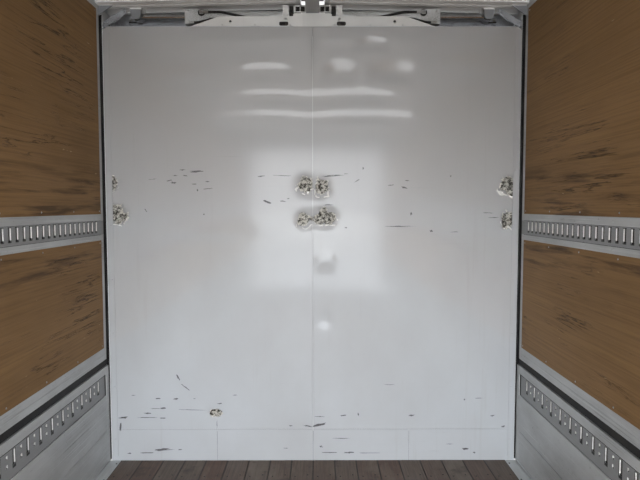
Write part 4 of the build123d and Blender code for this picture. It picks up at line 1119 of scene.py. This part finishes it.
# %% [markdown]
# Inside, screws hold the plywood to the wing's frame and the planks to the cross-members, and
# rivets hold the floor's edge strip. Black strips paint the shade along the inner edges of each
# raised flange. Along each sunk gate rail, a thin dark line marks its joint at the foot, and a
# wider black strip under its upper rim is painted shade.

# %% Screws, joints and painted shade of the load space
SCREW_LEVELS = (0.650, 1.190, 1.355, 2.370)
SCREW_END = 3.02
WALL_SCREW_PITCH = 0.305
CROSS_PITCH = 0.390
CROSS_COUNT = 16
PLANK_COUNT = 18
JOINT = 0.0015
RIM_SHADE = 0.0075
RAIL_SPAN = (-RAIL_END, RAIL_END)


def wall_screws(shape):
    for height in SCREW_LEVELS:
        ends = [(WALL, y, FLOOR + height) for y in (-SCREW_END, SCREW_END)]
        rivet_row(shape, *ends, WALL_SCREW_PITCH, (-1, 0, 0), 0.0042)


def rail_edge_shade(shape):
    # painted shade: black strips along the inner edges of the raised flanges
    for height in (FLANGES[0][1], FLANGES[1][0] - JOINT):
        add_block(shape, around(WALL, JOINT / 3), RAIL_SPAN, above_floor(height, height + JOINT))


def sill_steps(shape):
    add_block(shape, (WALL - 0.0016, WALL), RAIL_SPAN, above_floor(0.5705, 0.601), 0.0006)
    add_block(shape, (WALL - 0.0004, WALL), RAIL_SPAN, above_floor(0.601, 0.6035))


def gate_joints_and_shade(shape, end):
    y = (end * (GATE_NEAR + CAP_WIDTH), end * (GATE_FAR - CAP_WIDTH))
    x = (GATE_FACE - 0.0003, GATE_FACE + 0.0002)
    # a thin dark joint line at the recess's foot, and a RIM_SHADE wide strip of painted shade under its
    # rim
    for heights in ((RECESS[0], RECESS[0] + JOINT), (RECESS[1] - RIM_SHADE, RECESS[1])):
        add_block(shape, x, y, heights)


finished_pair(sill_steps, "wing_sill_steps_{}", "wing_{}", "rail_aluminium")
finished_pair(wall_screws, "wing_lining_screws_{}", "wing_{}", "zinc_steel")
finished_pair(rail_edge_shade, "wing_rail_joints_{}", "wing_{}", "seal_rubber")
for place, end in ENDS.items():
    names = (f"gate_{place}_{{}}_grooves", f"gate_{place}_{{}}_body")
    finished_pair(gate_joints_and_shade, *names, "seal_rubber", end=end)

screws = bmesh.new()
for middle in row(PLANK_COUNT, PLANK_PITCH):
    for y in row(CROSS_COUNT, CROSS_PITCH):
        for shift in (-0.032, 0.032):
            add_rivet(screws, (middle + shift, y + shift / 4, FLOOR - 0.0012), (0, 0, 1), 0.0055, 6)
for hand in HANDS.values():
    ends = [(hand * (PLANKS_SIDE + 0.012), y, FLOOR) for y in (-ROW_END, ROW_END)]
    rivet_row(screws, *ends, 0.18, (0, 0, 1))
finished(screws, "floor_screws", "root", "zinc_steel", "black_fittings")

# %% [markdown]
# A flat brace ties each upper corner of the load space. It is made level and then turned to the
# slope from its foot on the pillar to its head under the beam.

# %% Corner braces
BRACE_FOOT = (1.086, 2.322)
BRACE_TOP = (0.968, 2.395)
BRACE_HALF_WIDTH = 0.014
BRACE_NEAR = 3.1008
BRACE_SHEET = 0.004


def corner_braces(shape):
    foot = Vector((BRACE_FOOT[0], 0, FLOOR + BRACE_FOOT[1]))
    head = Vector((BRACE_TOP[0], 0, FLOOR + BRACE_TOP[1]))
    along = head - foot
    width = around(0, BRACE_HALF_WIDTH)
    for sign in (-1, 1):
        y = (sign * BRACE_NEAR, sign * (BRACE_NEAR + BRACE_SHEET))
        add_block(shape, around(0, along.length / 2), y, width, 0.001)
        for shift in (-0.055, 0.055):
            add_bolt(shape, (shift, sign * BRACE_NEAR, 0), (0, -sign, 0), 0.0055)
    turn = Matrix.Rotation(-atan2(along.z, along.x), 4, "Y")
    bmesh.ops.transform(shape, matrix=Matrix.Translation((foot + head) / 2) @ turn, verts=shape.verts)


finished_pair(corner_braces, "corner_braces_{}", "root", "header_paint")

# %% [markdown]
# Outside, each wing's sheet is made of bays. Flat cover strips hide the joints between them, an
# edge moulding frames the whole, and rows of rivets hold both. The roof has the same strips, and
# they follow its slope. Under each roof end plate a rubber lip lies on the end wall, because the
# wing has to close tight there and still lift away.

# %% Wing panels
SIDE_LOW = FLOOR + 0.572
SIDE_HIGH = FLOOR + 2.398
SIDE_INNER = (SIDE_LOW + 0.044, SIDE_HIGH - 0.038)
WING_END = 3.093
BAYS = row(5, 1.03)
STRIP = 0.036
THIN = 0.0013
THICK = 0.0026
THIN_OUTSIDE = (OUTER, OUTER + THIN)
THICK_OUTSIDE = (OUTER, OUTER + THICK)
ROOF_RISE = tan(radians(1.5))
ROOF_EDGE = 1.070
ROOF_NEAR = 0.066
ROOF_RIVETS = (0.10, 0.26, 0.42, 0.58, 0.74, 0.90, 1.05)
ROOF_ROWS = (1.090, 0.085)
ROOF_ROW_END = 3.22
ROOF_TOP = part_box("wing_roof_right")[1].z
ROOF_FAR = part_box("wing_roof_right")[1].y


def side_strips(shape):
    for heights in ((SIDE_LOW, SIDE_INNER[0]), (SIDE_INNER[1], SIDE_HIGH)):
        add_block(shape, THICK_OUTSIDE, (-WING_END, WING_END), heights, 0.0012)
    for sign in (-1, 1):
        y = (sign * WING_END, sign * (WING_END - STRIP))
        add_block(shape, THICK_OUTSIDE, y, SIDE_INNER, 0.0012)
    for y in BAYS:
        add_block(shape, THIN_OUTSIDE, around(y, STRIP / 2), SIDE_INNER, 0.0005)


def side_rivets(shape):
    for height in (SIDE_LOW + 0.022, SIDE_HIGH - 0.019):
        ends = [(OUTER + THICK, y, height) for y in (-ROW_END, ROW_END)]
        rivet_row(shape, *ends, RIVET_PITCH, (1, 0, 0))
    for y in BAYS:
        for place in around(y, STRIP_RIVETS):
            ends = [(OUTER + THIN, place, height) for height in (SIDE_LOW + 0.08, SIDE_HIGH - 0.08)]
            rivet_row(shape, *ends, RIVET_PITCH, (1, 0, 0), 0.0045)


def follow_roof(shape):
    """Lowers a level shape so that it follows the roof's slope."""
    for vert in shape.verts:
        vert.co.z -= (vert.co.x - ROOF_NEAR + 0.003) * ROOF_RISE


def roof_strips(shape):
    for y in BAYS:
        heights = (ROOF_TOP, ROOF_TOP + THIN)
        add_block(shape, (ROOF_NEAR, ROOF_EDGE), around(y, STRIP / 2), heights, 0.0005)
        for x in ROOF_RIVETS:
            add_rivet(shape, (x, y, ROOF_TOP + THIN), (0, 0, 1), 0.0045)
    for x in ROOF_ROWS:
        ends = [(x, y, ROOF_TOP) for y in (-ROOF_ROW_END, ROOF_ROW_END)]
        rivet_row(shape, *ends, 0.15, (0, 0, 1))
    follow_roof(shape)


def roof_end_seals(shape):
    for sign in (-1, 1):
        y = (sign * (ROOF_FAR - 0.0028), sign * (ROOF_FAR - 0.0004))
        heights = (ROOF_TOP - 0.0625, ROOF_TOP - 0.0525)
        add_block(shape, (ROOF_NEAR, ROOF_EDGE + 0.015), y, heights, 0.0008)
    follow_roof(shape)


finished_pair(side_strips, "wing_side_strips_{}", "wing_{}", "rail_aluminium")
finished_pair(side_rivets, "wing_side_rivets_{}", "wing_{}", "zinc_steel")
finished_pair(roof_strips, "wing_roof_strips_{}", "wing_{}", "white_panel")
finished_pair(roof_end_seals, "wing_end_seals_{}", "wing_{}", "seal_rubber")

# %% [markdown]
# A gate is built up of wide extruded planks, so its outside shows three flat fields with a groove
# between them and an upright moulding at each end. Each latch has a lever on a pivot and a hook
# that reaches up to a keeper on the wing. The hinge straps are bolted.

# %% Gates from outside
FIELDS = ((0.012, 0.176), (0.184, 0.350), (0.358, 0.526))
LATCH_INSET = 0.060
LATCH_FACE = OUTER + 0.012
LATCH_OUTER = OUTER + 0.0125
STRAP_BOLTS = (0.040, 0.072)
HINGES = (-1.2, 0.0, 1.2)


def gate_span(end):
    """The span of the front or the rear gate along Y."""
    return sorted((end * GATE_NEAR, end * GATE_FAR))


def latch_places(end):
    """Where the front or the rear gate has its two latches."""
    low, high = gate_span(end)
    return low + LATCH_INSET, high - LATCH_INSET


def gate_fields(shape, end):
    near, far = gate_span(end)
    for heights in FIELDS:
        x = (OUTER, OUTER + 0.0018)
        add_block(shape, x, (near + 0.038, far - 0.038), above_floor(*heights), 0.0012)
    for start in (near + 0.001, far - 0.037):
        y = (start, start + CAP_WIDTH)
        add_block(shape, (OUTER, OUTER + 0.003), y, above_floor(0.010, 0.528), 0.0012)


def gate_latches(shape, end):
    for y in latch_places(end):
        lever = (LATCH_FACE, LATCH_FACE + 0.0055)
        add_block(shape, lever, around(y, 0.009), above_floor(0.432, 0.500), 0.0022)
        add_bolt(shape, (lever[1], y, FLOOR + 0.443), (1, 0, 0), 0.0055)
        add_cone(shape, (OUTER + 0.008, y, FLOOR + 0.512), (0, 0, 1), 0.004, 0.004, 0.055, 10)
        hook = (OUTER + 0.003, LATCH_OUTER)
        add_block(shape, hook, around(y, 0.012), above_floor(0.562, 0.5695), 0.0015)
        for height in (0.432, 0.508):
            for place in around(y, 0.0145):
                add_rivet(shape, (LATCH_FACE, place, FLOOR + height), (1, 0, 0), 0.0035)
    for step in HINGES:
        for height in STRAP_BOLTS:
            centre = (OUTER + 0.006, end * GATE_MIDDLE + step, FLOOR + height)
            add_bolt(shape, centre, (1, 0, 0), 0.0065)


def latch_keepers(shape, end):
    for y in latch_places(end):
        keeper = (OUTER + THICK, LATCH_OUTER)
        add_block(shape, keeper, around(y, 0.018), above_floor(0.5745, 0.602), 0.002)


for place, end in ENDS.items():
    gate = f"gate_{place}_{{}}"
    finished_pair(gate_fields, f"{gate}_fields", f"{gate}_body", "rail_aluminium", end=end)
    finished_pair(gate_latches, f"{gate}_latches", f"{gate}_body", "zinc_steel", end=end)
    finished_pair(latch_keepers, f"latch_keepers_{place}_{{}}", "wing_{}", "zinc_steel", end=end)

# %% [markdown]
# The side rail carries the fixed halves of the gate hinges and the side marker lamps. A lamp has
# a black base and an amber lens with upright ribs.

# %% Side rail bolts and lamps
RAIL_FACE = OUTER - 0.005
FIXED_SHIFT = 0.0503
LAMP_LOW, LAMP_HIGH = (corner.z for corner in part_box("marker_lamps"))
LAMP_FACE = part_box("marker_lamps")[1].x
LAMP_PLACES = [sign * GATE_MIDDLE + shift for sign in (-1, 1) for shift in (-0.6, 0.6)]
LAMP_RIBS = 9


def rail_bolts(shape):
    for middle in (-GATE_MIDDLE, GATE_MIDDLE):
        for step in HINGES:
            for height in (-0.072, -0.044):
                centre = (RAIL_FACE + 0.006, middle + step + FIXED_SHIFT, FLOOR + height)
                add_bolt(shape, centre, (1, 0, 0), 0.0065)


def lamp_bases(shape):
    for y in LAMP_PLACES:
        heights = (LAMP_LOW - 0.004, LAMP_HIGH + 0.004)
        add_block(shape, (RAIL_FACE, RAIL_FACE + 0.004), around(y, 0.056), heights, 0.0015)


def lamp_ribs(shape):
    for y in LAMP_PLACES:
        for shift in row(LAMP_RIBS, 0.009):
            x = (LAMP_FACE - 0.0002, LAMP_FACE + 0.0011)
            heights = (LAMP_LOW + 0.003, LAMP_HIGH - 0.003)
            add_block(shape, x, around(y + shift, 0.0016), heights, 0.0005, 1)


finished_pair(rail_bolts, "side_rail_bolts_{}", "root", "zinc_steel")
finished_pair(lamp_bases, "lamp_bases_{}", "root", "seal_rubber")
finished_pair(lamp_ribs, "lamp_ribs_{}", "root", "lamp_amber")

# %% [markdown]
# The front wall's outer skin has upright cover strips like the wings. The rear frame carries the
# keepers that the lock rods turn into, and the buffers are bolted on.

# %% Front skin and rear frame
END_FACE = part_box("front_skin")[1].y
SKIN_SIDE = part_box("front_skin")[1].x - 0.002
SKIN_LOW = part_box("front_skin")[0].z
SKIN_HIGH = FLOOR + 2.395
SKIN_STRIPS = (-0.55, 0.0, 0.55)
EDGE = 0.05
EDGE_ROW_END = 1.07
SIDE_ROW = 1.078
KEEPER_X = 0.153
BUFFER_X = 0.950
BUFFER_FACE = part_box("dock_buffers")[0].y

strips = bmesh.new()
studs = bmesh.new()
for x in SKIN_STRIPS:
    heights = (SKIN_LOW + EDGE, SKIN_HIGH - EDGE)
    add_block(strips, around(x, STRIP / 2), (END_FACE, END_FACE + THIN), heights, 0.0005)
    for place in around(x, STRIP_RIVETS):
        ends = [(place, END_FACE + THIN, height) for height in (SKIN_LOW + 0.09, SKIN_HIGH - 0.09)]
        rivet_row(studs, *ends, RIVET_PITCH, (0, 1, 0), 0.0045)
for heights in ((SKIN_LOW + 0.002, SKIN_LOW + EDGE), (SKIN_HIGH - EDGE, SKIN_HIGH - 0.002)):
    y = (END_FACE, END_FACE + THICK)
    add_block(strips, (-SKIN_SIDE, SKIN_SIDE), y, heights, 0.0012)
    ends = [(x, y[1], sum(heights) / 2) for x in (-EDGE_ROW_END, EDGE_ROW_END)]
    rivet_row(studs, *ends, RIVET_PITCH, (0, 1, 0))
for sign in (-1, 1):
    ends = [(sign * SIDE_ROW, END_FACE, height) for height in (SKIN_LOW + 0.1, SKIN_HIGH - 0.1)]
    rivet_row(studs, *ends, RIVET_PITCH, (0, 1, 0))
    for height in (2.350, 2.390):
        ends = [(sign * x, -END_FACE, FLOOR + height) for x in (0.03, EDGE_ROW_END)]
        rivet_row(studs, *ends, 0.13, (0, -1, 0))
    for height in (-0.085, -0.020):
        add_bolt(studs, (sign * BUFFER_X, BUFFER_FACE, FLOOR + height), (0, -1, 0), 0.009)
finished(strips, "front_skin_strips", "root", "rail_aluminium")
finished(studs, "end_wall_rivets", "root", "zinc_steel")


def lock_keepers(shape):
    for height in (2.352, -0.062):
        for x in (KEEPER_X - 0.024, KEEPER_X + 0.018):
            y = (-END_FACE - 0.040, -END_FACE)
            add_block(shape, (x, x + 0.006), y, around(FLOOR + height, 0.012), 0.0012)
        y = (-END_FACE - 0.003, -END_FACE)
        add_block(shape, around(KEEPER_X, 0.034), y, around(FLOOR + height, 0.020), 0.001)


finished_pair(lock_keepers, "lock_keepers_{}", "root", "zinc_steel")

# %% [markdown]
# The rear doors stand open in the picture's state, so their pieces are made flat, as if the door
# lay along X with its hinge pin at the origin, and then turned by the same angle as the door. The
# inner face has a rubber gasket all round and an aluminium kick plate. The outer face has edge
# mouldings, bolted hinge blades, clamps that hold the lock rod, cams at the rod's ends and a grip.

# %% Rear doors
DOOR_ANGLE = radians(110)
DOOR_AXIS = (1.180, -3.280)
DOOR_FAR = -1.177
DOOR_NEAR = -0.040
DOOR_LOW = FLOOR + 0.020
DOOR_HIGH = FLOOR + 2.330
INNER_FACE = 0.015
OUTER_FACE = -0.020
BLADE_FACE = -0.026
BLADE_LEVELS = (0.200, 0.850, 1.500, 2.150)
BLADE_BOLTS = (-0.050, -0.080, -0.110)
GUIDE_LEVELS = (0.120, 0.823, 1.527, 2.230)
ROD_X = -1.027
ROD_Y = -0.0315
HANDLE_LEVEL = FLOOR + 1.095
GASKET = 0.014
MOULDING = 0.030
GRIP_PARTS = ((0.190, 0.0165, 0.088), (0.188, 0.0185, 0.006), (0.274, 0.0185, 0.006))


def to_door(shape):
    """Turns and moves a flat door piece to its place."""
    place = Matrix.Translation((*DOOR_AXIS, 0)) @ Matrix.Rotation(DOOR_ANGLE, 4, "Z")
    bmesh.ops.transform(shape, matrix=place, verts=shape.verts)


def door_gasket(shape):
    y = (INNER_FACE, INNER_FACE + 0.004)
    left, right = DOOR_FAR + 0.006, DOOR_NEAR - 0.006
    low, high = DOOR_LOW + 0.006, DOOR_HIGH - 0.006
    for x in ((left, left + GASKET), (right - GASKET, right)):
        add_block(shape, x, y, (low, high), 0.0015)
    for z in ((low, low + GASKET), (high - GASKET, high)):
        add_block(shape, (left + GASKET, right - GASKET), y, z, 0.0015)
    to_door(shape)


def door_plates(shape):
    kick = (DOOR_FAR + 0.03, DOOR_NEAR - 0.03)
    y = (INNER_FACE, INNER_FACE + 0.0014)
    add_block(shape, kick, y, (DOOR_LOW + 0.03, DOOR_LOW + 0.36), 0.0006)
    for height in (DOOR_LOW + 0.045, DOOR_LOW + 0.345):
        ends = [(x, y[1], height) for x in (kick[0] + 0.015, kick[1] - 0.015)]
        rivet_row(shape, *ends, RIVET_PITCH, (0, 1, 0), 0.0042)
    y = (OUTER_FACE - THICK, OUTER_FACE)
    for x in (DOOR_FAR + 0.002, DOOR_NEAR - 0.032):
        heights = (DOOR_LOW + 0.002, DOOR_HIGH - 0.002)
        add_block(shape, (x, x + MOULDING), y, heights, 0.0012)
    for z in (DOOR_LOW + 0.002, DOOR_HIGH - 0.032):
        add_block(shape, (DOOR_FAR + 0.032, DOOR_NEAR - 0.032), y, (z, z + MOULDING), 0.0012)
    to_door(shape)


def door_lock_bolts(shape):
    for height in BLADE_LEVELS:
        for x in BLADE_BOLTS:
            add_bolt(shape, (x, BLADE_FACE, FLOOR + height), (0, -1, 0), 0.007)
    for height in GUIDE_LEVELS:
        for x in around(ROD_X, 0.022):
            for z in around(FLOOR + height, 0.020):
                add_bolt(shape, (x, BLADE_FACE, z), (0, -1, 0), 0.0045)
        y = (ROD_Y - 0.0135, BLADE_FACE)
        add_block(shape, around(ROD_X, 0.016), y, around(FLOOR + height, 0.009), 0.003)
    for level in (DOOR_HIGH + 0.010, DOOR_LOW - 0.030):
        y = (ROD_Y - 0.014, ROD_Y + 0.016)
        add_block(shape, around(ROD_X, 0.015), y, (level, level + 0.018), 0.003)
    add_cone(shape, (ROD_X, ROD_Y, HANDLE_LEVEL - 0.024), (0, 0, 1), 0.018, 0.018, 0.048, 20)
    to_door(shape)


def door_grip(shape):
    for shift, radius, length in GRIP_PARTS:
        centre = (ROD_X + shift, ROD_Y, HANDLE_LEVEL)
        add_cone(shape, centre, (1, 0, 0), radius, radius, length, 20)
    to_door(shape)


finished_pair(door_gasket, "door_gasket_{}", "door_{}", "seal_rubber")
finished_pair(door_plates, "door_plates_{}", "door_{}", "rail_aluminium")
finished_pair(door_lock_bolts, "door_lock_bolts_{}", "door_{}", "zinc_steel")
finished_pair(door_grip, "door_grip_{}", "door_{}", "seal_rubber")

# %% [markdown]
# Here the floor and the light. The floor is a pale plane some way below the sills, because the
# body hangs on its chassis and its gates swing down past the floor frame. It glows a little for the
# camera and in reflections, so that it stays pale and still takes the body's shadow. The world is
# white where the camera or a reflection sees it, which is what makes the doorway shine in the front
# wall, and plain soft light otherwise. Two lamps just inside the doorway stand for the sky behind
# the truck: the first aims down at the foot of the front wall, which gets more light than its top,
# and the second fills the sides. A third stands for the light that the floor planks send up, and
# the last two light the outside.

# %% Stage and light
GROUND = -0.62
GROUND_HALF = 30
FLOOR_GLOW = 0.38
WORLD_LIGHT = 0.5


def looked_at(build):
    """One for what is seen directly, in a reflection or through glass, and nothing for light."""
    rays = build.add("ShaderNodeLightPath").outputs
    return build.most(rays["Is Camera Ray"], rays["Is Glossy Ray"], rays["Is Transmission Ray"])


stage_shape = bmesh.new()
level = Matrix.Translation((0, 0, GROUND))
bmesh.ops.create_grid(stage_shape, x_segments=1, y_segments=1, size=GROUND_HALF, matrix=level)
stage_mesh = bpy.data.meshes.new("pale_floor")
stage_shape.to_mesh(stage_mesh)
stage_shape.free()
pale_floor = bpy.data.objects.new("pale_floor", stage_mesh)
bpy.context.scene.collection.objects.link(pale_floor)
ground = Finish("pale_floor_finish")
speck = ground.clouds(3, detail=3)
ground.base(ground.ramp(speck, 0.3, 0.7), (0.80, 0.80, 0.80), (0.77, 0.77, 0.775))
glow = ground.times(looked_at(ground), FLOOR_GLOW)
ground.tree.links.new(glow, ground.shader.inputs["Emission Strength"])
ground.shader.inputs["Emission Color"].default_value = (1.0, 1.0, 1.0, 1.0)
stage_mesh.materials.append(ground.done(ground.ramp(speck, 0.3, 0.7, 0.6, 0.7)))

world = bpy.data.worlds.new("plain_world")
bpy.context.scene.world = world
world.use_nodes = True
world.node_tree.nodes.clear()
sky = Nodes(world.node_tree)
soft = sky.add("ShaderNodeBackground", {"Color": (0.95, 0.97, 1.0, 1.0), "Strength": WORLD_LIGHT})
white = sky.add("ShaderNodeBackground", {"Color": (1.0, 1.0, 1.0, 1.0), "Strength": 1.0})
sockets = {0: looked_at(sky), 1: soft.outputs[0], 2: white.outputs[0]}
blend = sky.add("ShaderNodeMixShader", sockets)
sky.add("ShaderNodeOutputWorld", {"Surface": blend.outputs[0]})

LAMPS = (
    # name, place, aim, width, height, spread in degrees, watts, colour
    ("doorway_sky", (0.0, -2.95, 1.75), (0.0, 3.1, 0.0), 2.0, 1.7, 54, 39, (0.95, 0.975, 1.0)),
    ("doorway_spread", (0.0, -2.9, 1.3), (0.0, 3.1, 0.9), 2.0, 1.9, 140, 29, (1.0, 0.995, 0.98)),
    ("floor_bounce", (0.0, 1.2, 0.35), (0.0, 1.9, 2.6), 1.9, 3.0, 170, 25, (1.0, 0.98, 0.95)),
    ("side_key", (7.0, -3.0, 6.0), (0.0, 0.0, 1.2), 5.0, 5.0, 180, 230, (1.0, 0.99, 0.97)),
    ("side_fill", (-7.0, 2.0, 5.0), (0.0, 0.0, 1.2), 5.0, 5.0, 180, 120, (0.96, 0.98, 1.0)),
)
for name, place, aim, width, height, spread, watts, colour in LAMPS:
    lamp_data = bpy.data.lights.new(name, "AREA")
    lamp_data.shape = "RECTANGLE"
    lamp_data.size = width
    lamp_data.size_y = height
    lamp_data.spread = radians(spread)
    lamp_data.energy = watts
    lamp_data.color = colour
    lamp = bpy.data.objects.new(name, lamp_data)
    lamp.location = place
    lamp.rotation_euler = (Vector(aim) - Vector(place)).to_track_quat("-Z", "Y").to_euler()
    lamp.visible_camera = False
    lamp.visible_glossy = False
    bpy.context.scene.collection.objects.link(lamp)
bpy.context.scene.view_settings.view_transform = "Standard"
print("lamps", len(LAMPS))
